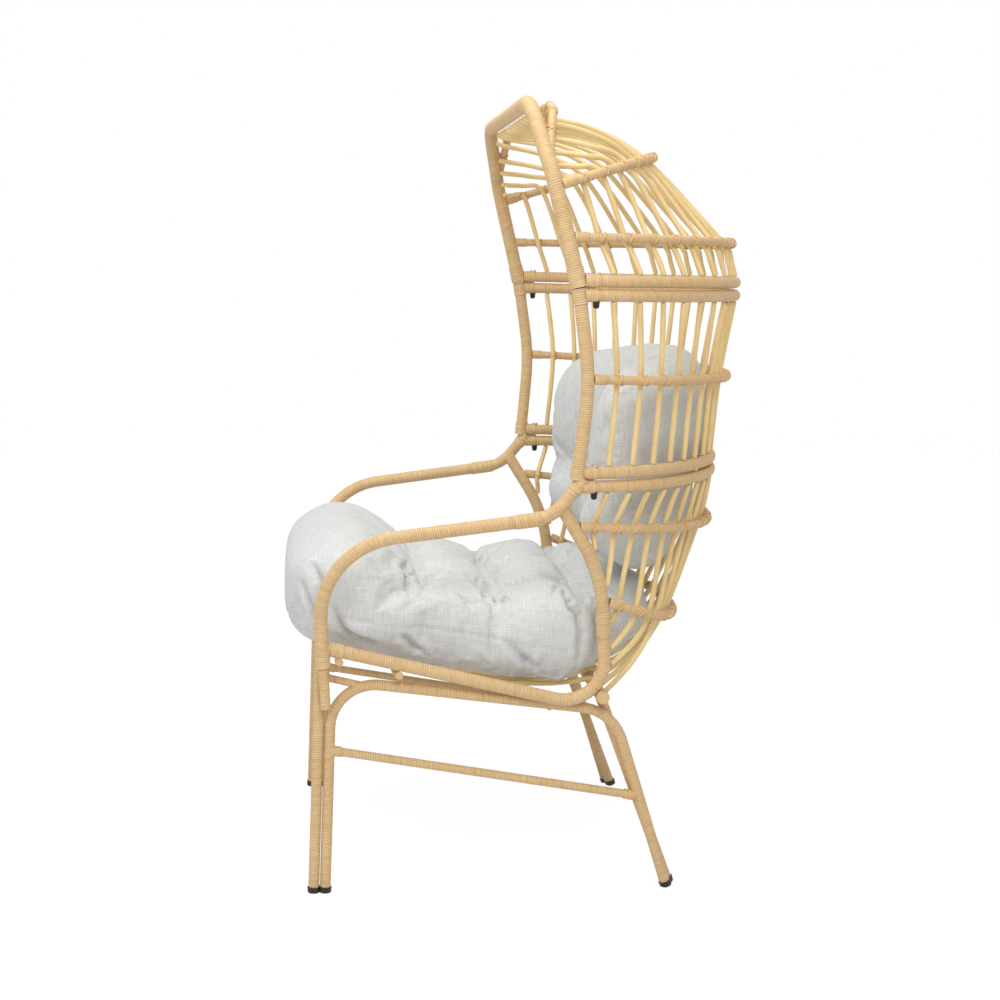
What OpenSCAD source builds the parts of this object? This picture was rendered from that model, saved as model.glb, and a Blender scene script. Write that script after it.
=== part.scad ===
// High-back egg chair on four legs: a wrapped tube frame, three ribbed basket
// sections bolted one on another, two leg frames and two loose cushions.
// Millimetres, +Z up, +Y to the rear, origin on the floor under the middle.

/* [Legs] */
// Diameter of the wrapped leg tubes
leg_d = 20; // [16:0.5:24]
// Diameter of the stretchers
stretcher_d = 16; // [12:0.5:18]
// Diameter of the short links between front leg and leg hoop
link_d = 14; // [10:0.5:16]
// Distance of the front feet in front of the middle
front_foot = 380; // [355:5:400]
// Distance of the rear feet behind the middle
rear_foot = 273; // [255:5:295]
// Height of the rail of the leg hoop over the front foot
leg_rail_front = 396; // [385:1:400]
// Height of the rail of the leg hoop over the rear foot
leg_rail_rear = 322; // [316:1:324]
// How far the rear leg leans back over its height
rear_leg_lean = 110; // [90:2:120]
// Bend radius at the front of the leg hoop
leg_front_bend = 80; // [60:5:90]
// Bend radius at the rear of the leg hoop
leg_rear_bend = 90; // [60:5:110]
// Height of the stretcher at the front leg
stretcher_front = 266; // [240:2:290]
// Height of the stretcher at the rear leg
stretcher_rear = 174; // [150:2:200]
// Height of the black foot caps
foot_cap_h = 9; // [6:0.5:14]
// Length of the sockets that carry the arm posts
socket_len = 76; // [60:2:90]
// Diameter of the sockets
socket_d = 18; // [16:0.5:20]

/* [Seat] */
// Diameter of arms, side tubes and seat rails
tube_d = 24; // [20:0.5:26]
// Height of the front end of the seat rails
seat_front_z = 457; // [445:1:470]
// Height at which the seat rail and side tube meet, before the bend
seat_rear_z = 342; // [338:1:350]
// Half the spacing of the two seat rails
seat_half_w = 349; // [340:1:356]
// Bend radius from seat rail to side tube
seat_bend = 70; // [60:2:80]
// Height of the lower end of the arm posts
arm_foot_z = 424; // [418:1:430]
// Height of the armrest at its front bend
arm_front_z = 647; // [620:1:670]
// Height of the armrest at its rear bend
arm_rear_z = 703; // [690:1:712]
// Half the spacing of the armrests
arm_half_w = 410; // [400:1:420]
// Bend radius at the front of the armrest
arm_front_bend = 150; // [120:5:165]
// Bend radius at the rear of the armrest
arm_rear_bend = 80; // [60:5:90]
// Diameter of the cross bars under the seat
cross_bar_d = 14; // [12:0.5:16]
// How far the cross bars sag in the middle
seat_sag = 40; // [20:2:60]
// Diameter of the rear cross tube
rear_tube_d = 22; // [20:0.5:24]
// Number of ribs in the seat
seat_ribs = 9; // [5:1:11]

/* [Basket] */
// Diameter of the ribs
rib_d = 10; // [8:0.5:12]
// Diameter of the rings lashed round the ribs
ring_d = 16; // [12:0.5:18]
// Diameter of the seam rails
rail_d = 22; // [20:0.5:24]
// Space between the two rails of a seam
seam_gap = 2.5; // [1.5:0.5:5]
// Height of the lower seam
low_seam_z = 770; // [760:1:780]
// Height of the upper seam
high_seam_z = 1104; // [1080:2:1130]
// How much narrower the lower seam is than the arms, on each side
low_seam_in = 2; // [0:0.5:8]
// Half the width of the basket at the upper seam
high_half_w = 430; // [422:1:438]
// Distance of the upper seam's corners behind the middle
corner_y = 64; // [59:1:69]
// How much further back the lower seam's corners are
low_corner_back = 9; // [5:1:12]
// Height of the ring in the lower basket, at its ends
lower_ring_z = 686; // [676:1:696]
// Height of the lowest ring, at its ends
bottom_ring_z = 550; // [545:1:560]
// Depth of the lowest ring behind its ends
bottom_ring_depth = 203; // [196:1:208]
// Depth of the lower seam behind its corners
low_depth = 319; // [305:2:330]
// Depth of the upper seam behind its corners
high_depth = 365; // [350:2:375]
// Number of ribs in the lower basket
low_ribs = 24; // [16:2:26]
// Number of ribs in the middle basket
mid_ribs = 22; // [14:2:24]
// Number of ribs in the hood
hood_ribs = 22; // [14:2:24]

/* [Hood] */
// Diameter of the hoop
hoop_d = 28; // [24:0.5:32]
// Height of the axis of the hoop's top bar
hoop_top_z = 1423; // [1415:1:1440]
// Height of the lower bend in each post of the hoop
hoop_bend_z = 1298; // [1290:1:1310]
// Height at which the upper hood ring meets the hoop
hoop_spring_z = 1275; // [1262:1:1278]
// Radius of the hoop's lower bends
hoop_low_r = 120; // [90:2:130]
// Radius of the hoop's upper bends
hoop_high_r = 90; // [70:2:110]
// How much narrower the hoop is at its lower bends than at the upper seam, on each side
hoop_in = 8; // [4:0.5:16]
// Half the width of the hoop at the upper bends
hoop_top_half_w = 335; // [325:1:350]
// Forward lean of the hoop in degrees
hoop_lean = 14.2; // [10:0.2:18]
// Height of the lower hood ring
hood_ring_z = 1190; // [1175:1:1205]
// Depth of the upper hood ring behind the hoop
hood_high_depth = 247; // [240:1:254]
// Tilt of the upper hood ring in degrees
hood_ring_tilt = 17.6; // [10:0.2:22]

/* [Fasteners] */
// Diameter of the seam bolts
bolt_d = 6; // [5:0.5:8]
// Diameter of the black cap nuts
nut_d = 11.5; // [10:0.5:13]
// Height of the cap nuts
nut_h = 12; // [9:0.5:15]
// Distance of the front bolts from the seam corners
bolt_set = 31; // [26:1:36]
// Diameter of the pins between sockets and arm posts
spigot_d = 10; // [8:0.5:12]

/* [Cushions] */
// Half the width of the seat cushion
seat_cushion_half_w = 336; // [320:2:338]
// Half the depth of the seat cushion from its front roll to its round rear
seat_cushion_half_d = 351; // [330:1:354]
// Thickness of the seat cushion
seat_cushion_t = 196; // [150:2:200]
// Thickness of the back cushion
back_cushion_t = 150; // [110:2:156]
// Distance of the back cushion from the seat cushion under it
back_cushion_gap = 2; // [0.3:0.1:6]
// How far the lower part of the back cushion swells forward
back_lobe = 32; // [0:2:40]
// Height of the upper edge of the back cushion
back_cushion_high = 985; // [900:5:1000]
// Depth of the tufts
tuft_depth = 26; // [10:1:34]

/* [Hidden] */
$fn = 64;

wrap_color = [0.80, 0.66, 0.46];
rib_color = [0.86, 0.71, 0.44];
black = [0.06, 0.06, 0.06];
steel = [0.62, 0.63, 0.64];
linen = [0.84, 0.85, 0.84];

// Clearance between pieces that only touch
touch = 0.2;
// Clearance at a coped end
cope = 0.1;
// How much wider and how long the turns of wrap are where a bend begins
swell = 0.5;
wrap_turn = 6;

// ---- Vectors and paths ----
function unit(v) = v / norm(v);
function mirrored(v, side) = [v.x * side, v.y, v.z];
function side_path(path, side) = [for (p = path) mirrored(p, side)];
function turn(a, b, c) = acos(min(1, unit(b - a) * unit(c - b)));
function setback(a, b, c, r) = r * tan(turn(a, b, c) / 2);
function across(u) = abs(u.z) < 0.9 ? unit(cross([0, 0, 1], u)) : unit(cross([0, 1, 0], u));
function between(a, b, t) = a + (b - a) * t;
// The point of a falling or rising polyline at height z
function at_height(path, z, i = 0) =
  i >= len(path) - 2 || (path[i].z - z) * (path[i + 1].z - z) <= 0
    ? between(path[i], path[i + 1], (z - path[i].z) / (path[i + 1].z - path[i].z))
    : at_height(path, z, i + 1);
// A bent path as a chain of points, and the place and direction at length d along a chain
function rounded(p, r, n = 4) =
  concat([p[0]], [for (i = [1:len(p) - 2])
    let (
      u = unit(p[i] - p[i - 1]),
      w = unit(p[i + 1] - p[i]),
      bend = turn(p[i - 1], p[i], p[i + 1]),
      centre = p[i] + unit(w - u) * r[i - 1] / cos(bend / 2),
      start = p[i] - u * setback(p[i - 1], p[i], p[i + 1], r[i - 1]) - centre)
    each [for (k = [0:n]) centre + start * cos(bend * k / n) + u * r[i - 1] * sin(bend * k / n)]],
    [p[len(p) - 1]]);
function chain_len(p, i = 0) = i >= len(p) - 1 ? 0 : norm(p[i + 1] - p[i]) + chain_len(p, i + 1);
function along(p, d, i = 0) =
  let (l = norm(p[i + 1] - p[i]))
  d <= l || i >= len(p) - 2 ? [between(p[i], p[i + 1], d / l), unit(p[i + 1] - p[i])] : along(p, d - l, i + 1);
// The height of the straight line through two points, at depth y
function line_z(a, b, y) = a.z + (b.z - a.z) * (y - a.y) / (b.y - a.y);

// ---- The basket's plan curve: an arch of two side arcs and one rear arc ----
// A level is [half width, depth, front y, front z, tilt, side radius].
function level(w, d, y, z, tilt = 0, r = 0) = [w, d, y, z, tilt, r > 0 ? r : 0.75 * d];
function rear_r(l) = (l[0] * l[0] - 2 * l[0] * l[5] + l[1] * l[1]) / (2 * (l[1] - l[5]));
function side_angle(l) = atan2(l[0] - l[5], rear_r(l) - l[1]);
function side_len(l) = l[5] * (90 - side_angle(l)) * PI / 180;
function rear_len(l) = rear_r(l) * 2 * side_angle(l) * PI / 180;
function arch_len(l) = 2 * side_len(l) + rear_len(l);
// Direction of the arch's normal at the share s of its length, 90 at the left corner
function arch_angle(l, s) =
  let (d = s * arch_len(l))
  d < side_len(l) ? 90 - d / l[5] * 180 / PI
    : d < side_len(l) + rear_len(l) ? side_angle(l) - (d - side_len(l)) / rear_r(l) * 180 / PI
    : -side_angle(l) - (d - side_len(l) - rear_len(l)) / l[5] * 180 / PI;
function in_plane(l, s, grow) =
  l[1] == 0 ? [l[0] * (1 - 2 * s), 0]
    : let (a = arch_angle(l, s))
      abs(a) > side_angle(l)
        ? [sign(a) * (l[0] - l[5]) + (l[5] + grow) * sin(a), (l[5] + grow) * cos(a)]
        : [(rear_r(l) + grow) * sin(a), l[1] - rear_r(l) + (rear_r(l) + grow) * cos(a)];
function arch_pt(l, s, grow = 0) =
  let (p = in_plane(l, s, grow))
  [p.x, l[2] + p.y * cos(l[4]), l[3] + p.y * sin(l[4])];

// ---- Tubes ----
module placed(x_axis, y_axis, z_axis, at)
  multmatrix([[x_axis.x, y_axis.x, z_axis.x, at.x],
              [x_axis.y, y_axis.y, z_axis.y, at.y],
              [x_axis.z, y_axis.z, z_axis.z, at.z],
              [0, 0, 0, 1]]) children();

module rod(p, q, d) {
  w = unit(q - p);
  u = across(w);
  placed(u, cross(w, u), w, p) cylinder(h = norm(q - p), d = d);
}

module wrap_collar(at, u, d) rod(at - u * wrap_turn / 2, at + u * wrap_turn / 2, d + swell);

module elbow(a, b, c, r, d) {
  u = unit(b - a);
  w = unit(c - b);
  n = unit(w - u * (u * w));
  start = b - u * setback(a, b, c, r);
  placed(-n, u, cross(-n, u), start + n * r)
    rotate_extrude(angle = turn(a, b, c)) translate([r, 0]) circle(d = d);
}

// A tube through corner points, bent to the given radii, with a turn or a band of wrap at each bend
module bent_tube(path, radii, d, band = false) {
  last = len(path) - 1;
  back = [for (i = [0:last])
    i == 0 || i == last ? 0 : setback(path[i - 1], path[i], path[i + 1], radii[i - 1])];
  for (i = [0:last - 1]) {
    u = unit(path[i + 1] - path[i]);
    rod(path[i] + u * back[i], path[i + 1] - u * back[i + 1], d);
  }
  for (i = [1:last - 1]) {
    elbow(path[i - 1], path[i], path[i + 1], radii[i - 1], d);
    for (u = [unit(path[i - 1] - path[i]), unit(path[i + 1] - path[i])])
      if (band) wrap_collar(path[i] + u * back[i], u, d);
      else translate(path[i] + u * back[i]) sphere(d = d + swell);
  }
}

// A tube along the arch of a level
module arch_tube(l, d) {
  a = side_angle(l);
  translate([0, l[2], l[3]]) rotate([l[4], 0, 0]) {
    translate([0, l[1] - rear_r(l), 0]) rotate([0, 0, 90 - a])
      rotate_extrude(angle = 2 * a, $fn = 180) translate([rear_r(l), 0]) circle(d = d, $fn = 64);
    for (side = [-1, 1]) {
      translate([side * (l[0] - l[5]), 0, 0]) rotate([0, 0, side > 0 ? 0 : 90 + a])
        rotate_extrude(angle = 90 - a, $fn = 180) translate([l[5], 0]) circle(d = d, $fn = 64);
      translate([side * rear_r(l) * sin(a), l[1] - rear_r(l) + rear_r(l) * cos(a), 0])
        sphere(d = d + swell);
    }
  }
}

// ---- Swept ribs ----
function spline(a, b, c, d, t) =
  0.5 * (2 * b + (c - a) * t + (2 * a - 5 * b + 4 * c - d) * t * t + (3 * b - a - 3 * c + d) * t * t * t);
function smooth(p, steps) =
  let (last = len(p) - 1)
  concat([for (i = [0:last - 1], k = [0:steps - 1])
    spline(p[max(i - 1, 0)], p[i], p[i + 1], p[min(i + 2, last)], k / steps)], [p[last]]);
function direction(p, i) = unit(p[min(i + 1, len(p) - 1)] - p[max(i - 1, 0)]);
// Side directions carried along the path without twist
function carried(p, i, u) =
  i >= len(p) ? []
    : let (t = direction(p, i), w = unit(u - t * (t * u)))
      concat([w], carried(p, i + 1, w));
// One ring of a swept rod; a cut normal tilts the first and last ring
function swept_ring(p, i, r, sides, u, cut) =
  let (t = direction(p, i), v = cross(t, u))
  [for (k = [0:sides - 1])
    let (o = r * (cos(360 * k / sides) * u + sin(360 * k / sides) * v))
    p[i] + o - (cut == undef || abs(t * cut) < 0.3 ? [0, 0, 0] : t * (o * cut) / (t * cut))];
module swept_rod(p, d, start_cut = undef, end_cut = undef, sides = 8) {
  last = len(p) - 1;
  u = carried(p, 0, across(direction(p, 0)));
  points = [for (i = [0:last])
    each swept_ring(p, i, d / 2, sides, u[i], i == 0 ? start_cut : i == last ? end_cut : undef)];
  walls = [for (i = [0:last - 1], k = [0:sides - 1])
    let (a = i * sides + k, b = i * sides + (k + 1) % sides)
    each [[a, b + sides, b], [a, a + sides, b + sides]]];
  caps = [for (k = [1:sides - 2])
    each [[0, k, k + 1], [last * sides, last * sides + k + 1, last * sides + k]]];
  polyhedron(points, concat(walls, caps), convexity = 4);
}
function rib_share(i, count) = 0.05 + 0.9 * i / (count - 1);

// ---- Derived places: seat ----
low_half_w = arm_half_w - low_seam_in;
arm_foot = [seat_half_w + 8, 8 - front_foot + 6, arm_foot_z];
arm_knee = [seat_half_w + 10, 9 - front_foot, arm_foot_z + 76];
arm_path = [
  arm_foot, arm_knee,
  [arm_half_w - 15, 9 - front_foot, arm_front_z],
  [arm_half_w, corner_y - 34, arm_rear_z],
  [low_half_w, corner_y + 34, low_seam_z + 27]];
arm_bends = [200, arm_front_bend, arm_rear_bend];
side_top = [arm_half_w - 7, corner_y - 17, low_seam_z - 48];
side_knee = [low_half_w - 25, corner_y + 63, 597];
seat_corner = [seat_half_w, corner_y + 81, seat_rear_z];
seat_front = [seat_half_w, 20 - front_foot, seat_front_z];
side_tube_path = [side_top, side_knee, seat_corner, seat_front];
side_bends = [300, seat_bend];

function seat_rail_z(y) = line_z(seat_corner, seat_front, y);
seat_turn = turn(side_knee, seat_corner, seat_front);
// Middle of the bend from seat rail to side tube, in the plane of the side
bend_in = unit(unit(side_knee - seat_corner) + unit(seat_front - seat_corner));
bend_centre = seat_corner + bend_in * seat_bend / cos(seat_turn / 2);
// The rear cross tube lies behind and below that bend
rear_tube_off = seat_bend + tube_d / 2 + rear_tube_d / 2 + touch;
rear_tube_y = bend_centre.y + rear_tube_off * cos(42);
rear_tube_z = bend_centre.z - rear_tube_off * sin(42);
rear_tube_half = seat_half_w + 19;

// ---- Derived places: legs ----
bend_low_y = bend_centre.y;
bend_low_z = bend_centre.z - seat_bend;
leg_lean = 8 / leg_rail_front;
hoop_foot_y = leg_d + touch + swell - front_foot;
rear_leg_slope = rear_leg_lean / leg_rail_rear;
leg_rail_a = [0, hoop_foot_y + leg_lean * leg_rail_front, leg_rail_front];
leg_rail_b = [0, rear_foot - rear_leg_lean, leg_rail_rear + 13];
leg_rail_drop = bend_low_z - line_z(leg_rail_a, leg_rail_b, bend_low_y);
// The leg hoop stands inboard of the seat rail, so that both touch at the bend
leg_reach = tube_d / 2 + leg_d / 2 + touch + 0.2;
leg_half_w = seat_half_w - sqrt(leg_reach * leg_reach - leg_rail_drop * leg_rail_drop);
function front_leg_at(z) = [leg_half_w, leg_lean * z - front_foot, z];
function hoop_leg_at(z) = [leg_half_w, hoop_foot_y + leg_lean * z, z];
function rear_leg_at(z) = [leg_half_w, rear_foot - rear_leg_slope * z, z];
leg_hoop_path = [
  hoop_leg_at(foot_cap_h), hoop_leg_at(leg_rail_front),
  [leg_half_w, leg_rail_b.y, leg_rail_b.z], rear_leg_at(foot_cap_h)];
leg_hoop_bends = [leg_front_bend, leg_rear_bend];
brace_x = leg_half_w - leg_d - touch;
brace_foot = [brace_x, rear_foot + 4, foot_cap_h];
brace_aim = [brace_x, rear_tube_y, rear_tube_z];
brace_dir = unit(brace_aim - brace_foot);
brace_top = brace_aim - brace_dir * (rear_tube_d / 2 + touch);
socket_dir = unit(arm_knee - arm_foot);
bolt_y = bend_low_y - 22;
bolt_on_rail = [leg_half_w, bolt_y, line_z(leg_rail_a, leg_rail_b, bolt_y)];
bolt_on_seat = [seat_half_w, bolt_y, seat_rail_z(bolt_y)];
leg_bolt_dir = unit(bolt_on_seat - bolt_on_rail);

// ---- Derived places: basket ----
low_rail_z = low_seam_z - (seam_gap + rail_d) / 2;
mid_low_z = low_seam_z + (seam_gap + rail_d) / 2;
mid_high_z = high_seam_z - (seam_gap + rail_d) / 2;
hood_rail_z = high_seam_z + (seam_gap + rail_d) / 2;
rib_in = (ring_d + rib_d) / 2 + touch;
rail_out = rail_d / 2 + touch;
low_corner_y = corner_y + low_corner_back;
low_rail_level = level(low_half_w, low_depth, low_corner_y, low_rail_z);
mid_low_level = level(low_half_w, low_depth, low_corner_y, mid_low_z);
mid_high_level = level(high_half_w, high_depth, corner_y, mid_high_z);
hood_rail_level = level(high_half_w, high_depth, corner_y, hood_rail_z);
function moved(l, dz) = [l[0], l[1], l[2], l[3] + dz, l[4], l[5]];

mid_tube_path = [
  [low_half_w, low_corner_y, low_seam_z],
  [between(low_half_w, high_half_w, 0.7), corner_y + 24, between(low_seam_z, high_seam_z, 0.52)],
  [high_half_w, corner_y, high_seam_z]];
mid_tube_bend = 450;

lower_ring_at = at_height(side_tube_path, lower_ring_z);
bottom_ring_at = at_height(side_tube_path, bottom_ring_z);
mid_ring_at = [mid_tube_path[1].x - 2, corner_y + 20, between(low_seam_z, high_seam_z, 0.53)];
lower_ring_level = level(lower_ring_at.x, low_depth + 3, lower_ring_at.y, lower_ring_at.z, -4.5);
bottom_ring_level = level(bottom_ring_at.x, bottom_ring_depth, bottom_ring_at.y, bottom_ring_at.z, -19.5);
mid_ring_level = level(mid_ring_at.x, (low_depth + high_depth) / 2 - 8, mid_ring_at.y, mid_ring_at.z, -1.5);

hoop_half_w = high_half_w - hoop_in;
// The hoop stands in a plane that leans forward
function hoop_y(z) = corner_y - (z - high_seam_z) * tan(hoop_lean);
function hoop_x(z) = between(high_half_w, hoop_half_w, (z - high_seam_z) / (hoop_bend_z - high_seam_z));
hoop_bends = [hoop_low_r, hoop_high_r, hoop_high_r, hoop_low_r];
function hoop_path(z) = [
  [hoop_x(z), hoop_y(z), z],
  [hoop_half_w, hoop_y(hoop_bend_z), hoop_bend_z],
  [hoop_top_half_w, hoop_y(hoop_top_z), hoop_top_z],
  [-hoop_top_half_w, hoop_y(hoop_top_z), hoop_top_z],
  [-hoop_half_w, hoop_y(hoop_bend_z), hoop_bend_z],
  [-hoop_x(z), hoop_y(z), z]];
hoop_normal = [0, cos(hoop_lean), sin(hoop_lean)];
hood_low_level = level(hoop_x(hood_ring_z), high_depth + 13, hoop_y(hood_ring_z), hood_ring_z);
hood_high_level = level(hoop_x(hoop_spring_z), hood_high_depth, hoop_y(hoop_spring_z), hoop_spring_z,
  hood_ring_tilt);
// The crown ring leaves the slanting part of the posts and ends up behind the top bar
crown_foot_z = hoop_bend_z + 20;
crown_foot_at = [hoop_half_w - 12, hoop_y(crown_foot_z), crown_foot_z];
crown_corner = hoop_path(hoop_spring_z)[2] + [2, 42, -4];
crown_path = [crown_foot_at, crown_corner, mirrored(crown_corner, -1), mirrored(crown_foot_at, -1)];
crown_bends = [hoop_high_r, hoop_high_r];

// ---- Leg frames ----
module front_leg(side) color(wrap_color)
  rod(mirrored(front_leg_at(foot_cap_h), side), mirrored(front_leg_at(seat_front_z), side), leg_d);

module leg_hoop_tube(side, d = leg_d) bent_tube(side_path(leg_hoop_path, side), leg_hoop_bends, d);
module leg_hoop(side) color(wrap_color) difference() {
  leg_hoop_tube(side);
  leg_bolt_shape(side, bolt_d + 2 * cope);
}

module stretcher(side) color(wrap_color) {
  front = mirrored(hoop_leg_at(stretcher_front), side);
  rear = mirrored(rear_leg_at(stretcher_rear), side);
  back = unit(front - rear);
  difference() {
    union() {
      rod(front, rear, stretcher_d);
      rod(rear + back * 4, rear + back * 26, stretcher_d + 3);
    }
    leg_hoop_tube(side, leg_d + 2 * cope);
  }
}

module rear_brace(side) color(wrap_color) difference() {
  rod(mirrored(brace_foot, side), mirrored(brace_top, side), leg_d);
  brace_bolt_shape(side, bolt_d + 2 * cope);
}

module leg_link(side) color(wrap_color) difference() {
  rod(mirrored(front_leg_at(leg_rail_front + 7), side),
      mirrored([leg_half_w, leg_rail_a.y + 0.8 * leg_front_bend, leg_rail_front - 13], side), link_d);
  rod(mirrored(front_leg_at(300), side), mirrored(front_leg_at(seat_front_z), side), leg_d + 2 * cope);
  leg_hoop_tube(side, leg_d + 2 * cope);
}

module arm_socket(side) color(wrap_color) difference() {
  top = arm_foot - socket_dir * touch;
  lug_z = arm_foot_z - socket_len / 2;
  union() {
    rod(mirrored(top - socket_dir * socket_len, side), mirrored(top, side), socket_d);
    rod(mirrored(front_leg_at(lug_z), side), mirrored(arm_foot - socket_dir * socket_len / 2, side), 13);
  }
  rod(mirrored(front_leg_at(300), side), mirrored(front_leg_at(seat_front_z), side), leg_d + 2 * cope);
  spigot_shape(side, spigot_d + 2 * cope);
}

module spigot_shape(side, d)
  rod(mirrored(arm_foot - socket_dir * 30, side), mirrored(arm_foot + socket_dir * 30, side), d);

module arm_spigots() color(steel)
  for (side = [-1, 1]) spigot_shape(side, spigot_d);

// The bolt that ties a leg hoop to the seat rail
module leg_bolt_shape(side, d)
  rod(mirrored(bolt_on_rail - leg_bolt_dir * (leg_d / 2 + 3), side),
      mirrored(bolt_on_seat + leg_bolt_dir * 5, side), d);

// The bolt that ties a rear brace to the rear cross tube
module brace_bolt_shape(side, d)
  rod(mirrored(brace_aim + brace_dir * (rear_tube_d / 2 + 2), side),
      mirrored(brace_top - brace_dir * 30, side), d);

module leg_frame_bolts() color(steel)
  for (side = [-1, 1]) {
    leg_bolt_shape(side, bolt_d);
    rod(mirrored(bolt_on_rail - leg_bolt_dir * (leg_d / 2 + 4.8), side),
        mirrored(bolt_on_rail - leg_bolt_dir * (leg_d / 2 + 0.8), side), 2 * bolt_d);
    brace_bolt_shape(side, bolt_d);
    rod(mirrored(brace_aim + brace_dir * (rear_tube_d / 2 + touch), side),
        mirrored(brace_aim + brace_dir * (rear_tube_d / 2 + 4), side), 2 * bolt_d);
  }

module foot_cap(top, up) difference() {
  rod(top - up * 3 * foot_cap_h, top, leg_d);
  translate([top.x - 40, top.y - 40, -50]) cube([80, 80, 50]);
}

module foot_caps() color(black)
  for (side = [-1, 1]) {
    foot_cap(mirrored(front_leg_at(foot_cap_h - touch), side), unit([0, leg_lean, 1]));
    foot_cap(mirrored(hoop_leg_at(foot_cap_h - touch), side), unit([0, leg_lean, 1]));
    foot_cap(mirrored(rear_leg_at(foot_cap_h - touch), side), unit([0, -rear_leg_slope, 1]));
    foot_cap(mirrored(brace_foot - brace_dir * touch, side), brace_dir);
  }

// ---- Lower basket and seat ----
module arm_tube(side, d = tube_d) bent_tube(side_path(arm_path, side), arm_bends, d);
module above(z) translate([-600, -100, z]) cube([1200, 700, 200]);
module below(z) translate([-600, -100, z - 200]) cube([1200, 700, 200]);

module arm(side) color(wrap_color) difference() {
  arm_tube(side);
  above(low_seam_z - cope);
  spigot_shape(side, spigot_d + 2 * cope);
}

module side_tube_solid(side, d = tube_d) bent_tube(side_path(side_tube_path, side), side_bends, d);
module side_tube(side) color(wrap_color) difference() {
  side_tube_solid(side);
  arm_tube(side, tube_d + 2 * cope);
  leg_bolt_shape(side, bolt_d + 2 * cope);
}

module rear_cross_tube() color(wrap_color) difference() {
  rod([-rear_tube_half, rear_tube_y, rear_tube_z], [rear_tube_half, rear_tube_y, rear_tube_z], rear_tube_d);
  for (side = [-1, 1]) brace_bolt_shape(side, bolt_d + 2 * cope);
}

bar_half = seat_half_w + 6;
bar_r = (bar_half * bar_half + seat_sag * seat_sag) / (2 * seat_sag);
bar_spread = asin(bar_half / bar_r);
function bar_drop(x) = sqrt(bar_r * bar_r - x * x) - sqrt(bar_r * bar_r - bar_half * bar_half);
under_rail = (tube_d + cross_bar_d) / 2 + touch;
// Depth of each cross bar and the height of its ends
seat_bars = [
  [43 - front_foot, seat_rail_z(43 - front_foot) - under_rail],
  [150 - front_foot, seat_rail_z(150 - front_foot) - under_rail],
  [390 - front_foot, seat_rail_z(390 - front_foot) + 3]];

module sagging_bar(y, z)
  translate([0, y, z + bar_r * cos(bar_spread)]) rotate([-90, 0, 0]) rotate([0, 0, 90 - bar_spread])
    rotate_extrude(angle = 2 * bar_spread) translate([bar_r, 0]) circle(d = cross_bar_d);

module seat_cross_bars() color(wrap_color) {
  for (i = [0, 1]) sagging_bar(seat_bars[i][0], seat_bars[i][1]);
  difference() {
    sagging_bar(seat_bars[2][0], seat_bars[2][1]);
    for (side = [-1, 1])
      rod(mirrored(seat_corner, side), mirrored(seat_front, side), tube_d + 2 * cope);
    for (side = [-1, 1])
      translate([side > 0 ? seat_half_w : -seat_half_w - 60, seat_bars[2][0] - 40, seat_bars[2][1] - 60])
        cube([60, 80, 120]);
  }
}

rib_lift = (cross_bar_d + rib_d) / 2 + touch + 2.2;
function seat_rib_z(i, x) = seat_bars[i][1] - bar_drop(x) + rib_lift;
over_tube_z = rear_tube_z + (rear_tube_d + rib_d) / 2 + touch;
function tube_lift(x) = 0.3 + 0.9 * bar_drop(x) / seat_sag;
module seat_rib_set() color(rib_color)
  for (i = [0:seat_ribs - 1]) {
    x = (2 * i / (seat_ribs - 1) - 1) * (seat_half_w - 69);
    slope = (seat_rib_z(0, x) - seat_rib_z(1, x)) / (seat_bars[1][0] - seat_bars[0][0]);
    swept_rod(smooth([
      [x, seat_bars[0][0] - 16, seat_rib_z(0, x) + 16 * slope],
      [x, seat_bars[0][0], seat_rib_z(0, x)],
      [x, seat_bars[1][0], seat_rib_z(1, x)],
      [x, seat_bars[2][0], seat_rib_z(2, x) + 0.5],
      [x, rear_tube_y, over_tube_z + tube_lift(x)],
      [x, rear_tube_y + 15, over_tube_z + 5]], 2), rib_d);
  }

module seam_bolt_holes(l)
  for (s = seam_shares(l))
    translate([arch_pt(l, s).x, arch_pt(l, s).y, l[3] - 30]) cylinder(h = 60, d = bolt_d + 2 * cope);
function seam_shares(l) = [bolt_set / arch_len(l), 0.5, 1 - bolt_set / arch_len(l)];

module lower_rail() color(wrap_color) difference() {
  arch_tube(low_rail_level, rail_d);
  for (side = [-1, 1]) {
    arm_tube(side, tube_d + 2 * cope);
    past_tube(low_rail_level, side, low_corner_y);
  }
  seam_bolt_holes(low_rail_level);
}

module ring_between_side_tubes(l) difference() {
  arch_tube(l, ring_d);
  for (side = [-1, 1]) {
    side_tube_solid(side, tube_d + 2 * cope);
    past_tube(l, side, l[2] + 4);
  }
}
// Clears what an arch's end leaves in front of the tube that it meets
module past_tube(l, side, y)
  translate([side * l[0] - 30, y - 60, l[3] - 30]) cube([60, 60, 60]);

module lower_ring() color(wrap_color) ring_between_side_tubes(lower_ring_level);
module bottom_ring() color(wrap_color) ring_between_side_tubes(bottom_ring_level);

// The ribs close up downwards: those at the front of each side end on the side tubes,
// the others run under the seat's rear edge to the rear cross tube.
lower_close = 1.03;
bottom_close = 1.24;
foot_close = 1.95;
function closed(s, k) = 0.5 + (s - 0.5) * k;
// Height at which a rib of share s reaches the side tube
function rib_end_z(s) = lookup(0.5 / abs(0.5 - s), [
  [lower_close, lower_ring_level[3]], [bottom_close, bottom_ring_level[3] + 10],
  [1.33, 512], [1.48, 462], [1.67, 434], [foot_close, 410]]);
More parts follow.
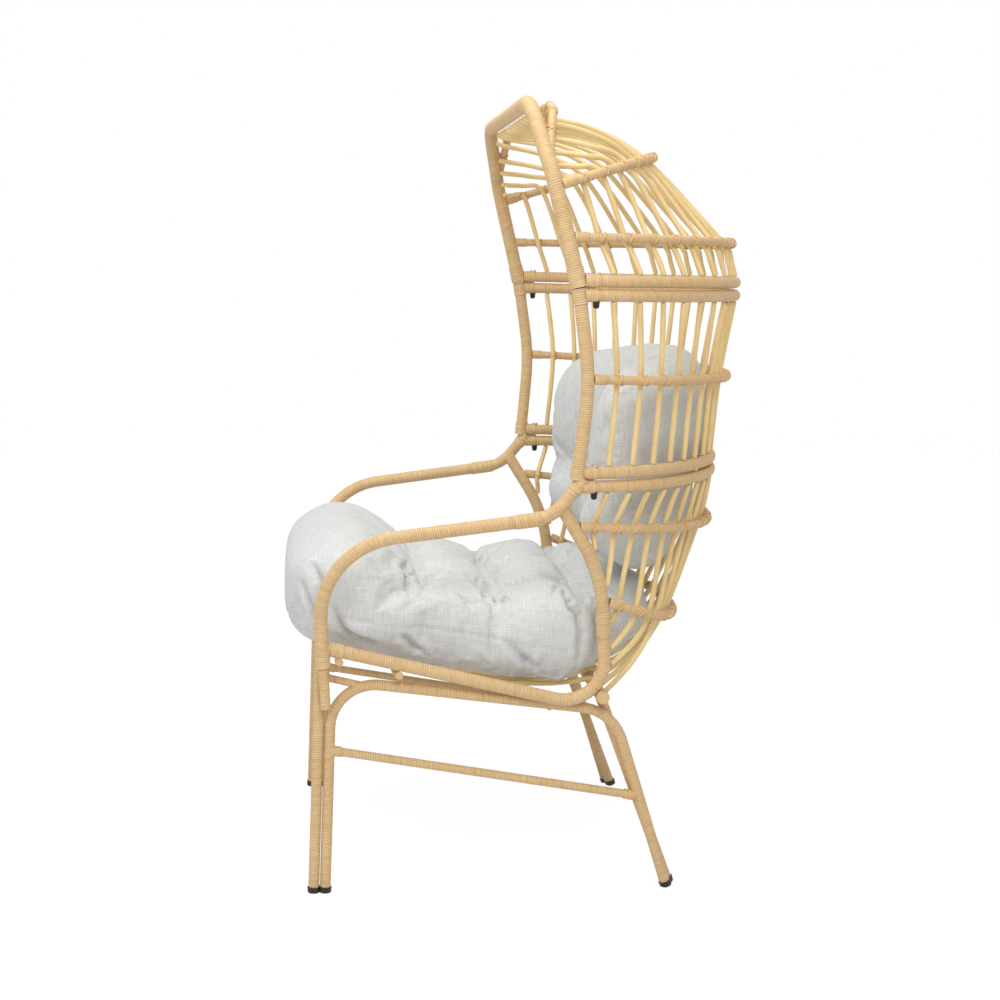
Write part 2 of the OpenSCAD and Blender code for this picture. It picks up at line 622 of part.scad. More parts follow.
// The side tube's axis and its rearward normal at height z
side_axis = rounded(side_tube_path, side_bends, 6);
function side_step(z, i = 0) = i >= len(side_axis) - 2 || side_axis[i + 1].z < z ? i : side_step(z, i + 1);
function side_normal(z) =
  let (i = side_step(z), t = unit(side_axis[i + 1] - side_axis[i]))
  unit([0, -t.z, t.y]);
function lower_rib_end(s) =
  abs(closed(s, foot_close) - 0.5) < 0.5
    ? [(0.5 - s) * foot_close * 2 * (seat_half_w - 16),
       rear_tube_y + (rear_tube_d / 2 + touch) * cos(20),
       rear_tube_z + (rear_tube_d / 2 + touch) * sin(20)]
    : let (z = rib_end_z(s), t = at_height(side_axis, z) + side_normal(z) * (tube_d / 2 + 2.5))
      [sign(0.5 - s) * (t.x - 2), t.y, t.z];
function lower_rib_cut(s) =
  abs(closed(s, foot_close) - 0.5) < 0.5 ? [0, cos(20), sin(20)] : side_normal(rib_end_z(s));
function lower_rib_path(s) =
  let (
    rail = arch_pt(moved(low_rail_level, -rail_out), s),
    ring = arch_pt(lower_ring_level, closed(s, lower_close), -rib_in - 1),
    low = abs(closed(s, bottom_close) - 0.5) < 0.5
      ? [arch_pt(bottom_ring_level, closed(s, bottom_close), -rib_in - 1)] : [],
    end = lower_rib_end(s),
    last = len(low) > 0 ? low[0] : ring,
    belly = between(last, end, 0.5) + norm(end - last) * (len(low) > 0 ? 0.08 : 0.02) * [0, 0.5, -0.86])
  concat([rail, ring], low, [belly, end]);
module lower_rib_set() color(rib_color)
  for (i = [0:low_ribs - 1])
    swept_rod(smooth(lower_rib_path(rib_share(i, low_ribs)), 3), rib_d, [0, 0, 1],
      lower_rib_cut(rib_share(i, low_ribs)));

// ---- Middle basket ----
module middle_tube_solid(side, d = tube_d) bent_tube(side_path(mid_tube_path, side), [mid_tube_bend], d);
module middle_tube(side) color(wrap_color) difference() {
  bent_tube(side_path(concat(
    [mid_tube_path[0] + (mid_tube_path[0] - mid_tube_path[1]) * 0.06], [mid_tube_path[1]],
    [mid_tube_path[2] + (mid_tube_path[2] - mid_tube_path[1]) * 0.06]), side), [mid_tube_bend], tube_d);
  below(low_seam_z + cope);
  above(high_seam_z - cope);
}

module rail_between_middle_tubes(l) difference() {
  arch_tube(l, rail_d);
  for (side = [-1, 1]) {
    middle_tube_solid(side, tube_d + 2 * cope);
    past_tube(l, side, l[2] + 4);
  }
  seam_bolt_holes(l);
}
module middle_bottom_rail() color(wrap_color) rail_between_middle_tubes(mid_low_level);
module middle_top_rail() color(wrap_color) rail_between_middle_tubes(mid_high_level);

module middle_ring() color(wrap_color) difference() {
  arch_tube(mid_ring_level, ring_d);
  for (side = [-1, 1]) {
    middle_tube_solid(side, tube_d + 2 * cope);
    past_tube(mid_ring_level, side, mid_ring_level[2] + 4);
  }
}

module middle_rib_set() color(rib_color)
  for (i = [0:mid_ribs - 1]) {
    s = rib_share(i, mid_ribs);
    swept_rod(smooth([
      arch_pt(moved(mid_low_level, rail_out), s),
      arch_pt(mid_ring_level, s, -rib_in),
      arch_pt(moved(mid_high_level, -rail_out), s)], 3), rib_d, [0, 0, 1], [0, 0, 1]);
  }

// ---- Hood ----
module hood_hoop_solid(d) bent_tube(hoop_path(high_seam_z - 12), hoop_bends, d, band = true);
module hood_hoop() color(wrap_color) difference() {
  hood_hoop_solid(hoop_d);
  below(high_seam_z + cope);
}

module hood_bottom_rail() color(wrap_color) difference() {
  arch_tube(hood_rail_level, rail_d);
  hood_hoop_solid(hoop_d + 2 * cope);
  for (side = [-1, 1]) past_tube(hood_rail_level, side, corner_y);
  seam_bolt_holes(hood_rail_level);
}

module hood_ring(l) difference() {
  arch_tube(l, ring_d);
  hood_hoop_solid(hoop_d + 2 * cope);
  for (side = [-1, 1]) past_tube(l, side, l[2] + 2);
}
module hood_lower_ring() color(wrap_color) hood_ring(hood_low_level);
module hood_upper_ring() color(wrap_color) hood_ring(hood_high_level);
module hood_crown_ring() color(wrap_color) difference() {
  bent_tube(crown_path, crown_bends, ring_d, band = true);
  hood_hoop_solid(hoop_d + 2 * cope);
}

// How far the ribs bulge between the upper ring and the crown, as a share of that distance
hood_bulge = 0.085;
// Distance of the rib ends from the hoop
rib_gap = 2.2;
// Where along the hoop a rib of share s ends: closer together at the posts
function hoop_share(s) = s > 0.5 ? 1 - hoop_share(1 - s)
  : lookup(s, [[0, 0.018], [0.05, 0.044], [0.18, 0.128], [0.5, 0.5]]);
hoop_chain = rounded(hoop_path(hoop_spring_z), hoop_bends);
hoop_len = chain_len(hoop_chain);
crown_chain = rounded(crown_path, crown_bends);
crown_len = chain_len(crown_chain);
crown_lost = (1 - crown_len / hoop_len) / 2;
// Point and inward direction where a rib from high passes under the crown ring to the hoop's share u
function under_crown(u, high) =
  let (
    on_hoop = along(hoop_chain, u * hoop_len),
    way = unit(high - on_hoop[0]),
    drop = unit(cross(on_hoop[1], way)),
    v = (u - crown_lost) / (1 - 2 * crown_lost),
    to_crown = v > 0 && v < 1 ? along(crown_chain, v * crown_len)[0] - on_hoop[0] : [0, 0, 0],
    far = max(hoop_d / 2 + 6, to_crown * way))
  [on_hoop[0] + way * far + drop * max(8, to_crown * drop + rib_in + 4.5), drop];
function square_to(v, t) = unit(v - t * (v * t));
function hoop_spot(s) = along(hoop_chain, hoop_share(s) * hoop_len);
function hood_rib_path(s) =
  let (
    rail = arch_pt(moved(hood_rail_level, rail_out), s),
    low = arch_pt(hood_low_level, s, -rib_in - 3),
    high = arch_pt(hood_high_level, s, -rib_in - 2),
    crown = under_crown(hoop_share(s), high),
    aim = hoop_spot(s)[0] + crown[1] * 7,
    to_rib = unit(crown[0] - aim),
    clear = (hoop_d / 2 + rib_gap) / (to_rib * square_to(to_rib, hoop_spot(s)[1])),
    out = unit([rail.x, rail.y - corner_y, 0]))
  [rail, between(rail, low, 0.5) + 3 * out, low, high,
   between(high, crown[0], 0.52) - crown[1] * hood_bulge * norm(high - crown[0]), crown[0],
   aim + to_rib * clear];
module hood_rib_set() color(rib_color)
  for (i = [0:hood_ribs - 1]) {
    s = rib_share(i, hood_ribs);
    path = hood_rib_path(s);
    swept_rod(smooth(path, 2), rib_d, [0, 0, 1], square_to(path[5] - path[6], hoop_spot(s)[1]));
  }

// ---- Fasteners ----
module at_seam_bolts(l)
  for (s = seam_shares(l))
    translate([arch_pt(l, s).x, arch_pt(l, s).y, 0]) children();

seams = [[mid_low_level, low_rail_level], [hood_rail_level, mid_high_level]];
module seam_bolts() color(steel)
  for (seam = seams) at_seam_bolts(seam[0]) {
    top = seam[0][3] + rail_d / 2 + cope;
    low = seam[1][3] - rail_d / 2 - nut_h * 0.6;
    translate([0, 0, low]) cylinder(h = top - low, d = bolt_d);
    translate([0, 0, top]) cylinder(h = 3.5, d = 2 * bolt_d);
  }

module cap_nuts() color(black)
  for (seam = seams) at_seam_bolts(seam[0])
    translate([0, 0, seam[1][3] - rail_d / 2 - cope]) mirror([0, 0, 1]) difference() {
      union() {
        cylinder(h = nut_h * 0.6, d = nut_d);
        translate([0, 0, nut_h * 0.6]) cylinder(h = nut_h * 0.4, d1 = nut_d - 1, d2 = nut_d * 0.6);
      }
      translate([0, 0, -1]) cylinder(h = nut_h * 0.6 + 1.2, d = bolt_d + 2 * cope);
    }

// ---- Cushions ----
function power(x, e) = sign(x) * pow(abs(x), e);
function dent(p, at, w) = exp(-pow(norm([p.x - at.x, p.y - at.y]) / w, 2));
function groove(d, w) = exp(-pow(d / w, 2));
// Closed skin from rings of points between two poles
module closed_skin(rings, first, final) {
  n = len(rings[0]);
  last = len(rings) - 1;
  points = concat([first], [for (r = rings) each r], [final]);
  low = [for (k = [0:n - 1]) [0, 1 + k, 1 + (k + 1) % n]];
  walls = [for (i = [0:last - 1], k = [0:n - 1])
    let (a = 1 + i * n + k, b = 1 + i * n + (k + 1) % n)
    each [[a, a + n, b + n], [a, b + n, b]]];
  high = [for (k = [0:n - 1]) [1 + (last + 1) * n, 1 + last * n + (k + 1) % n, 1 + last * n + k]];
  polyhedron(points, concat(low, walls, high), convexity = 6);
}

seat_cushion_y = 291 - front_foot;
// The tufts stand in three rows of three, closest together from front to rear
tuft_across = 205;
tuft_rows = [-101, 44, 189];
tuft_r = 48;
seat_tufts = [for (y = tuft_rows, x = [-tuft_across, 0, tuft_across]) [x, y]];
// Top of the seat's ribs, without and with the sag of the bars
function deck_z(y) = lookup(y, [
  [seat_bars[0][0], seat_bars[0][1] + rib_lift + rib_d / 2],
  [seat_bars[1][0], seat_bars[1][1] + rib_lift + rib_d / 2],
  [seat_bars[2][0], seat_bars[2][1] + rib_lift + rib_d / 2 + 0.5],
  [rear_tube_y, over_tube_z + rib_d / 2 + 1.2]]);
function deck_drop(x, y) = bar_drop(x) * lookup(y, [[seat_bars[2][0], 1], [rear_tube_y, 0]]);
// Squareness of the cushion's plan: nearly square in front, round in the rear
// How far the seat cushion settles on the flat tops of the ribs
seat_settle = 0.9;
seat_square = 0.36;
seat_round = 0.72;
seat_side_round = 0.6;
// Fullness of the cushion's lower side, 0 for a square one
seat_low_side = 0.3;
function seat_bulge(c) = pow(max(0, 1 - pow(min(c, 1), 4.76)), 0.31);
function seat_top(x, y, c) =
  let (
    tuck = max([for (t = seat_tufts) dent([x, y - seat_cushion_y], t, tuft_r)]),
    roll = 26 * exp(-pow((y + front_foot - 25) / 90, 2)))
  deck_z(y) + touch + seat_cushion_t / 2 * (1 + seat_bulge(c)) - tuck * tuft_depth + roll * seat_bulge(c);
// A point of the seat cushion's skin; up is -90 to 90, round is 0 to 360
function seat_skin(up, round) =
  let (
    c = power(cos(up), up < 0 ? seat_low_side : 0.42),
    e = round < 180 ? seat_round : seat_square,
    x = seat_cushion_half_w * c * power(cos(round), e < 0.5 ? e : seat_side_round),
    y = seat_cushion_y + seat_cushion_half_d * c * power(sin(round), e),
    low = seat_cushion_t / 2 * pow(abs(sin(up)), y > rear_tube_y ? 1.3 : 0.5))
  up > 0 ? [x, y, seat_top(x, y, c)]
    : [x, y, deck_z(y) + touch - seat_settle + seat_cushion_t / 2 - low
        - pow(abs(sin(up)), 1.5) * deck_drop(x, y)];
module seat_cushion() color(linen) {
  ups = [for (i = [1:20]) -90 + 180 * i / 21];
  closed_skin([for (up = ups) [for (k = [0:55]) seat_skin(up, 360 * k / 56)]],
    seat_skin(-90, 0), seat_skin(90, 0));
}

// The back cushion follows the inside of the basket: a level for its height
back_clear = rib_d / 2 + 7;
function back_level(z) = level(
  z > 700 ? between(low_half_w - 33, high_half_w - 28, (z - 700) / 300)
    : between(seat_half_w - 14, low_half_w - 33, (z - 450) / 250),
  z > 700 ? between(low_depth - 6, high_depth - 23, (z - 700) / 300)
    : between(low_depth - 83, low_depth - 6, (z - 450) / 250),
  z > 700 ? corner_y - 1 : between(corner_y + 11, corner_y - 1, (z - 450) / 250), z);
back_groove = 0.4;
// The back cushion rests on the seat cushion's top as far out as this share of its plan
rest_reach = 0.92;
// How far out in the seat cushion's plan a point lies, 1 at its edge
function seat_reach(x, y) =
  let (
    v = (y - seat_cushion_y) / seat_cushion_half_d,
    e = v > 0 ? seat_round : seat_square,
    side = v > 0 ? seat_side_round : seat_square)
  pow(pow(abs(x) / seat_cushion_half_w, 2 / side) + pow(abs(v), 2 / e), e / 2);
// across is -1 to 1 over the cushion's width, rise 0 to 1, out -1 front to 1 rear
function back_pt(sx, rise, out) =
  let (
    deep = back_clear + back_cushion_t / 2 * (1 - out) + back_lobe * max(0, -out) * groove(rise - 0.17, 0.2),
    rough = arch_pt(back_level(between(590, back_cushion_high, rise)), 0.5 + 0.39 * sx, -deep),
    low = seat_top(rough.x, rough.y, min(rest_reach, seat_reach(rough.x, rough.y))) + back_cushion_gap,
    z = between(low, back_cushion_high, rise))
  arch_pt(back_level(z), 0.5 + 0.39 * sx, -deep);
function back_skin(up, round) =
  let (
    c = power(cos(up), 0.45),
    sx = power(sin(up), 0.6),
    rise = 0.5 + 0.5 * c * power(sin(round), 0.5),
    channel = groove(rise - back_groove, 0.05),
    out = c * power(cos(round), 0.75) * (1 - (cos(round) < 0 ? 0.22 : 0.08) * channel))
  back_pt(sx, rise, out);
module back_cushion() color(linen) {
  ups = [for (i = [1:23]) -90 + 180 * i / 24];
  closed_skin([for (up = ups) [for (k = [0:47]) back_skin(up, -360 * k / 48)]],
    back_skin(-90, 0), back_skin(90, 0));
}

front_leg(1);  // left_front_leg
front_leg(-1);  // right_front_leg
leg_hoop(1);  // left_leg_hoop
leg_hoop(-1);  // right_leg_hoop
stretcher(1);  // left_stretcher
stretcher(-1);  // right_stretcher
rear_brace(1);  // left_rear_brace
rear_brace(-1);  // right_rear_brace
leg_link(1);  // left_leg_link
leg_link(-1);  // right_leg_link
arm_socket(1);  // left_arm_socket
arm_socket(-1);  // right_arm_socket
foot_caps();
arm_spigots();
leg_frame_bolts();
arm(1);  // left_arm
arm(-1);  // right_arm
side_tube(1);  // left_side_tube
side_tube(-1);  // right_side_tube
rear_cross_tube();
seat_cross_bars();
seat_rib_set();
lower_rail();
lower_ring();
bottom_ring();
lower_rib_set();
middle_bottom_rail();
middle_top_rail();
middle_tube(1);  // left_middle_tube
middle_tube(-1);  // right_middle_tube
middle_ring();
middle_rib_set();
hood_hoop();
hood_bottom_rail();
hood_lower_ring();
hood_upper_ring();
hood_crown_ring();
hood_rib_set();
seam_bolts();
cap_nuts();
seat_cushion();
back_cushion();
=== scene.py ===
"""High-back egg chair: wound tube frame, ribbed basket in three sections, two loose cushions."""

import bpy
import numpy as np
from mathutils import Matrix, Vector


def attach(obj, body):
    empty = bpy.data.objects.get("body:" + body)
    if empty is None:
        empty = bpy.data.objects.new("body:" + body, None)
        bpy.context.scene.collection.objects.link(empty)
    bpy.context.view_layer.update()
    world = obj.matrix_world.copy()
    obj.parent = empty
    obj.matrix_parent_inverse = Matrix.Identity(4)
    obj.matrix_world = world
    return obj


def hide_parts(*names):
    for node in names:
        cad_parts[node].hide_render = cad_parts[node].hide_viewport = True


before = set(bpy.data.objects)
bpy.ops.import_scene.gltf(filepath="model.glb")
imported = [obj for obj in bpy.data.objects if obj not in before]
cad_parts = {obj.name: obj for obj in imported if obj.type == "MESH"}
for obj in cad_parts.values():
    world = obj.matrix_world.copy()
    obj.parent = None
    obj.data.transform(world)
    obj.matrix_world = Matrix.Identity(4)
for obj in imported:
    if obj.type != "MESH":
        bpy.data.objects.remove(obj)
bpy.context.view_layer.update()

# ---- Camera ----
# Stands at the height of a seated eye to the left of the chair, a little forward of its middle,
# and looks slightly down on the chair's side.
eye = Vector((3.425, -0.402, 1.1375))
yaw, pitch, roll = np.radians([6.43, 7.58, 1.2])
ahead = Vector((-np.cos(yaw) * np.cos(pitch), np.sin(yaw) * np.cos(pitch), -np.sin(pitch)))
level_right = ahead.cross(Vector((0, 0, 1))).normalized()
level_up = level_right.cross(ahead)
right = level_right * np.cos(roll) + level_up * np.sin(roll)
up = level_up * np.cos(roll) - level_right * np.sin(roll)
camera = bpy.data.objects.new("camera", bpy.data.cameras.new("camera"))
camera.matrix_world = Matrix.Translation(eye) @ Matrix((right, up, -ahead)).transposed().to_4x4()
camera.data.sensor_width = 36
camera.data.lens = 63.2
scene = bpy.context.scene
scene.collection.objects.link(camera)
scene.camera = camera
scene.view_settings.view_transform = "Standard"

# ---- Leg frames ----
# Each side stands on a straight front leg and a bent hoop, tied by a stretcher, a rear brace and
# a short link. All are steel tubes wound from end to end with one round resin strand.
leg_x = 0.331764
leg_r = 0.010
wrap_light = (0.83, 0.60, 0.335, 1)
wrap_deep = (0.60, 0.385, 0.17, 1)
# painted shade: the dark colour laid into the groove between two turns of the strand
painted_gap_shade = (0.20, 0.115, 0.05, 1)


def unit(v):
    return v / np.linalg.norm(v, axis=-1, keepdims=True)


def even(line, step=0.003):
    """Points at equal steps of length along a line: its own points are joined straight, and
    new points are read off at whole steps of the summed distance."""
    reach = np.concatenate([[0], np.cumsum(np.linalg.norm(np.diff(line, axis=0), axis=1))])
    s = np.linspace(0, reach[-1], max(3, int(np.ceil(reach[-1] / step)) + 1))
    return np.stack([np.interp(s, reach, c) for c in line.T], -1)


def bent_line(corners, radii=()):
    """Centre line of a bent tube: straight between corners, and at each inner corner an arc of
    its radius that touches both straight runs, in equal steps of angle."""
    p = np.array(corners, float)
    parts = [p[:1]]
    for before, corner, after, r in zip(p[:-2], p[1:-1], p[2:], radii):
        u, w = unit(corner - before), unit(after - corner)
        bend = np.arccos(np.clip(u @ w, -1, 1))
        centre = corner + unit(w - u) * r / np.cos(bend / 2)
        start = corner - u * r * np.tan(bend / 2) - centre
        t = np.linspace(0, bend, 25)[:, None]
        parts.append(centre + start * np.cos(t) + u * r * np.sin(t))
    return even(np.vstack(parts + [p[-1:]]))


def length_of(line):
    return np.linalg.norm(np.diff(line, axis=0), axis=1).sum()


def along(line, s):
    """Places and unit directions at distances s along an even line, both read between its
    points; a point's direction is the mean of the steps before and after it."""
    reach = np.linspace(0, length_of(line), len(line))
    heading = np.gradient(line, axis=0)
    at = np.stack([np.interp(s, reach, c) for c in line.T], -1)
    way = np.stack([np.interp(s, reach, c) for c in heading.T], -1)
    return at, unit(way)


def stretch_of(line, start, end):
    """The run of a line between two distances from its start; a negative one counts from the end."""
    total = length_of(line)
    start, end = (d + total if d < 0 else d for d in (start, end))
    return along(line, np.linspace(start, end, max(3, int((end - start) / 0.003) + 2)))[0]


def made(name, points, faces, uv=None, sharp=40):
    """A mesh object from arrays of points and faces, with a corner map, smooth below an angle."""
    mesh = bpy.data.meshes.new(name)
    mesh.from_pydata(points.tolist(), [], faces)
    if uv is not None:
        mesh.uv_layers.new(name="surface").data.foreach_set("uv", uv.ravel().astype(np.float32))
    mesh.shade_smooth()
    mesh.set_sharp_from_angle(angle=np.radians(sharp))
    piece = bpy.data.objects.new(name, mesh)
    scene.collection.objects.link(piece)
    return piece


def wound(name, windings, strand=0.0042, depth=0.0003):
    """Skin of wound tubes. Row i and column j lie i/4 + j/16 strands along the centre line, at
    j/16 of a turn round it, so rows follow the strand's spiral. The radius drops by the depth at
    every fourth row, the groove between two turns. The corner map runs along the strand in
    metres, and across it from 0 to 1."""
    points, faces, corners, base = [], [], [], 0
    for line, side, radius in windings:
        length = length_of(line)
        rows = int(np.ceil(length / strand)) * 4 + 13
        i, j = np.meshgrid(np.arange(rows), np.arange(16), indexing="ij")
        s = (i / 4 + j / 16 - 1) * strand
        held = np.clip(i, (s <= 0).sum(0) - 1, rows - (s >= length).sum(0)) * 16 + j
        at, way = along(line, np.clip(s, 0, length))
        x = unit(np.array(side) - way * (way @ np.array(side))[..., None])
        turn = (j * np.pi / 8)[..., None]
        r = (radius - depth * np.array([1, 0.25, 0, 0.25])[i % 4])[..., None]
        skin = at + r * (np.cos(turn) * x + np.sin(turn) * np.cross(way, x))
        row, col = (a.ravel() for a in np.meshgrid(np.arange(rows - 6), np.arange(16), indexing="ij"))
        ii = np.stack([row, row, row + 1, row + 1], 1)
        jj = np.stack([col, col + 1, col + 1, col], 1)
        ids = held[ii + 4 * (jj == 16), jj % 16]
        uv = np.stack([(row[:, None] // 4 + jj / 16) * 2 * np.pi * radius,
                       (row[:, None] % 4 + ii - row[:, None]) / 4], -1)
        low, high = ids[:, 0] == ids[:, 3], ids[:, 1] == ids[:, 2]
        keep = {(False, False): [0, 1, 2, 3], (True, False): [0, 1, 2], (False, True): [0, 1, 3]}
        tube_faces, tube_uv = [], []
        for case, pick in keep.items():
            which = (low == case[0]) & (high == case[1])
            tube_faces += ids[which][:, pick].tolist()
            tube_uv.append(uv[which][:, pick].reshape(-1, 2))
        ends = [held[0][::-1].tolist(), held[-1].tolist()]
        used = np.unique(np.concatenate(tube_faces))
        lookup = np.zeros(rows * 16, int)
        lookup[used] = np.arange(len(used)) + base
        faces += [lookup[f].tolist() for f in tube_faces + ends]
        corners += tube_uv + [np.full((32, 2), 0.5)]
        points.append(skin.reshape(-1, 3)[used])
        base += len(used)
    return made(name, np.vstack(points), faces, np.vstack(corners))


def add(tree, kind, inputs=(), **settings):
    """A shader node. An input's value is a number, a colour, or the output that feeds it."""
    node = tree.nodes.new("ShaderNode" + kind)
    for name, value in settings.items():
        setattr(node, name, value)
    for socket, value in dict(inputs).items():
        if isinstance(value, bpy.types.NodeSocket):
            tree.links.new(value, node.inputs[socket])
        else:
            node.inputs[socket].default_value = value
    return node


def maths(tree, operation, a, b=0.0, c=0.0):
    return add(tree, "Math", {0: a, 1: b, 2: c}, operation=operation).outputs[0]


def times(tree, a, b):
    return maths(tree, "MULTIPLY", a, b)


def swung(tree, noise, gain, centre=0.5):
    """A noise less its mean of a half, times a gain, plus a centre."""
    return maths(tree, "MULTIPLY_ADD", maths(tree, "SUBTRACT", noise, 0.5), gain, centre)


def clamped(tree, value):
    return add(tree, "Clamp", {0: value}).outputs[0]


def noise(tree, place, scale, detail, rough=0.5):
    inputs = {"Vector": place, "Scale": scale, "Detail": detail, "Roughness": rough}
    return add(tree, "TexNoise", inputs).outputs[0]


def blended(tree, share, a, b, blend="MIX"):
    mix = add(tree, "Mix", {0: share, 6: a, 7: b}, data_type="RGBA", blend_type=blend)
    return mix.outputs[2]


def streaks(tree, x, y, scale, detail=3.0, rough=0.6):
    """Noise stretched by feeding it two coordinates of different scales."""
    return noise(tree, add(tree, "CombineXYZ", {0: x, 1: y}).outputs[0], scale, detail, rough)


def surface_map(tree):
    """The two coordinates of a piece's corner map."""
    return add(tree, "SeparateXYZ", {0: add(tree, "UVMap", uv_map="surface").outputs[0]}).outputs[:2]


def shaded(name, **plain):
    """A material with one Principled shader; constants go straight on its sockets."""
    finish = bpy.data.materials.new(name)
    finish.use_nodes = True
    tree = finish.node_tree
    skin = tree.nodes["Principled BSDF"]
    for socket, value in plain.items():
        skin.inputs[socket.replace("_", " ")].default_value = value
    return finish, tree, skin


def dress(tree, skin, colour, roughness, height, strength, distance):
    """Feeds the shader its colour, its roughness and the slope of a height."""
    tree.links.new(colour, skin.inputs["Base Color"])
    if roughness is not None:
        tree.links.new(roughness, skin.inputs["Roughness"])
    bump = add(tree, "Bump", {"Height": height, "Strength": strength, "Distance": distance})
    tree.links.new(bump.outputs[0], skin.inputs["Normal"])


def node_group(name, inputs, outputs):
    """A group with number sockets: the group, what it is given, and what it gives."""
    group = bpy.data.node_groups.new(name, "ShaderNodeTree")
    for way, sockets in (("INPUT", inputs), ("OUTPUT", outputs)):
        for socket in sockets:
            group.interface.new_socket(socket, in_out=way, socket_type="NodeSocketFloat")
    return group, group.nodes.new("NodeGroupInput").outputs, group.nodes.new("NodeGroupOutput").inputs


cloud_group, given, out = node_group("clouding", ("Size", "Strength"), ("Mask",))
cloud = noise(cloud_group, add(cloud_group, "TexCoord").outputs["Object"], given["Size"], 4.0)
cloud_group.links.new(swung(cloud_group, cloud, given["Strength"]), out["Mask"])


def clouds(tree, size, strength):
    """Slow uneven tone over a whole piece, as hand work and sun leave it."""
    return add(tree, "Group", {"Size": size, "Strength": strength}, node_tree=cloud_group).outputs["Mask"]


def strand_finish():
    """Resin strand: tone drifts along it, so that neighbouring turns differ, with fine streaks
    lengthwise, a rounded back, and painted shade darkening the groove to the next turn."""
    finish, tree, skin = shaded("wound resin strand", Roughness=0.5, Specular_IOR_Level=0.35)
    run, side = surface_map(tree)
    tone = streaks(tree, times(tree, run, 21.0), 0.0, 1.0, 2.0)
    fine = streaks(tree, times(tree, run, 60.0), times(tree, side, 7.0), 1.0, 4.0, 0.7)
    back = times(tree, times(tree, side, maths(tree, "SUBTRACT", 1.0, side)), 4.0)
    dome = maths(tree, "POWER", back, 0.5)
    share = clamped(tree, swung(tree, tone, 1.7, clouds(tree, 9.0, 0.5)))
    colour = blended(tree, share, wrap_deep, wrap_light)
    grain = swung(tree, fine, 0.9)
    grey = add(tree, "CombineColor", {0: grain, 1: grain, 2: grain}).outputs[0]
    colour = blended(tree, 0.55, colour, grey, "SOFT_LIGHT")
    # painted shade: the share of dark groove colour, rising towards the strand's edges where turns meet
    gap_shade_share = add(tree, "MapRange", {0: dome, 1: 0.25, 2: 0.75, 3: 0.75, 4: 0.0},
                   interpolation_type="SMOOTHSTEP").outputs[0]
    dress(tree, skin, blended(tree, gap_shade_share, colour, painted_gap_shade),
          maths(tree, "MULTIPLY_ADD", fine, 0.35, 0.33),
          maths(tree, "MULTIPLY_ADD", fine, 0.12, dome), 0.5, 0.0008)
    return finish


wrap = strand_finish()


def fit(piece, finish, slot, *nodes, body="frame"):
    """Gives a piece its finish, what carries it, and the nodes that it stands for."""
    piece.data.materials.append(finish)
    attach(piece, body)
    if nodes:
        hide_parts(*nodes)
    return piece


sideways = (1, 0, 0)
front_leg = bent_line([(leg_x, -0.380, 0.004), (leg_x, -0.37077, 0.457)])
leg_hoop = bent_line([(leg_x, -0.35912, 0.004), (leg_x, -0.3513, 0.396), (leg_x, 0.163, 0.335),
                      (leg_x, 0.2715, 0.004)], [0.080, 0.090])
stretcher = bent_line([(leg_x, -0.35393, 0.266), (leg_x, 0.21356, 0.174)])
brace = bent_line([(0.311564, 0.2785, 0.004), (0.311564, 0.14194, 0.35769)])
link = bent_line([(leg_x, -0.37186, 0.403), (leg_x, -0.2873, 0.383)])
socket = bent_line([(0.35500, -0.36101, 0.34819), (0.35699, -0.36598, 0.42375)])


def tube(name, line, side, radius, extra=0.0, bands=()):
    """A wound tube standing for the node of its name, with bands of extra strand over stretches."""
    layers = [(line, side, radius)] + [(stretch_of(line, *band), side, radius + extra) for band in bands]
    fit(wound(name, layers), wrap, "wrap", name)


def pairs(*tubes):
    """The left tubes and their mirror images on the right."""
    for side, sign in (("left_", 1), ("right_", -1)):
        for name, line, radius, *bands in tubes:
            tube(side + name, line * np.array([sign, 1, 1]), sideways, radius, *bands)


pairs(("front_leg", front_leg, leg_r), ("leg_hoop", leg_hoop, leg_r),
      ("stretcher", stretcher, 0.008, 0.0016, [(-0.026, -0.004), (0.004, 0.022)]),
      ("rear_brace", brace, leg_r), ("leg_link", link, 0.007), ("arm_socket", socket, 0.009))

# ---- Foot caps ----
# Black moulded rubber cups pushed on the cut ends of the eight tube feet, each with a rounded
# tread and a thin lip round the strand.


def ring_faces(base, rows, sides):
    """Faces of a closed skin of rows round an axis: four corners between rows, one face at each end."""
    a = base + np.arange(rows - 1)[:, None] * sides + np.arange(sides)
    b = base + np.arange(rows - 1)[:, None] * sides + (np.arange(sides) + 1) % sides
    quads = np.stack([a, b, b + sides, a + sides], -1).reshape(-1, 4).tolist()
    last = base + (rows - 1) * sides
    return quads + [list(range(base, base + sides))[::-1], list(range(last, last + sides))]


def lathed(name, profile, spots, sides=32):
    """Turned pieces: a profile of (radius, height) carried round each spot's axis."""
    r, h = np.array(profile).T
    t = np.arange(sides) * 2 * np.pi / sides
    points, faces = [], []
    for at, axis in spots:
        axis = unit(np.array(axis, float))
        x = unit(np.cross(axis, (0, 1, 0.2)))
        ring = np.cos(t)[:, None] * x + np.sin(t)[:, None] * np.cross(axis, x)
        skin = np.array(at) + r[:, None, None] * ring + (h[:, None] * axis)[:, None]
        faces += ring_faces(len(points) * skin.size // 3, len(r), sides)
        points.append(skin.reshape(-1, 3))
    return made(name, np.vstack(points), faces)


def rubber_finish():
    """Black rubber: nearly even, slightly greyed and scuffed in patches, fine grain."""
    finish, tree, skin = shaded("black rubber", Specular_IOR_Level=0.4)
    place = add(tree, "TexCoord").outputs["Object"]
    grain, scuff = noise(tree, place, 900.0, 3.0), noise(tree, place, 130.0, 6.0)
    worn = add(tree, "MapRange", {0: scuff, 1: 0.5, 2: 0.75, 3: 0.0, 4: 0.5}).outputs[0]
    dress(tree, skin, blended(tree, worn, (0.012, 0.012, 0.013, 1), (0.05, 0.048, 0.045, 1)),
          maths(tree, "MULTIPLY_ADD", worn, 0.4, 0.5), grain, 0.4, 0.0002)
    return finish


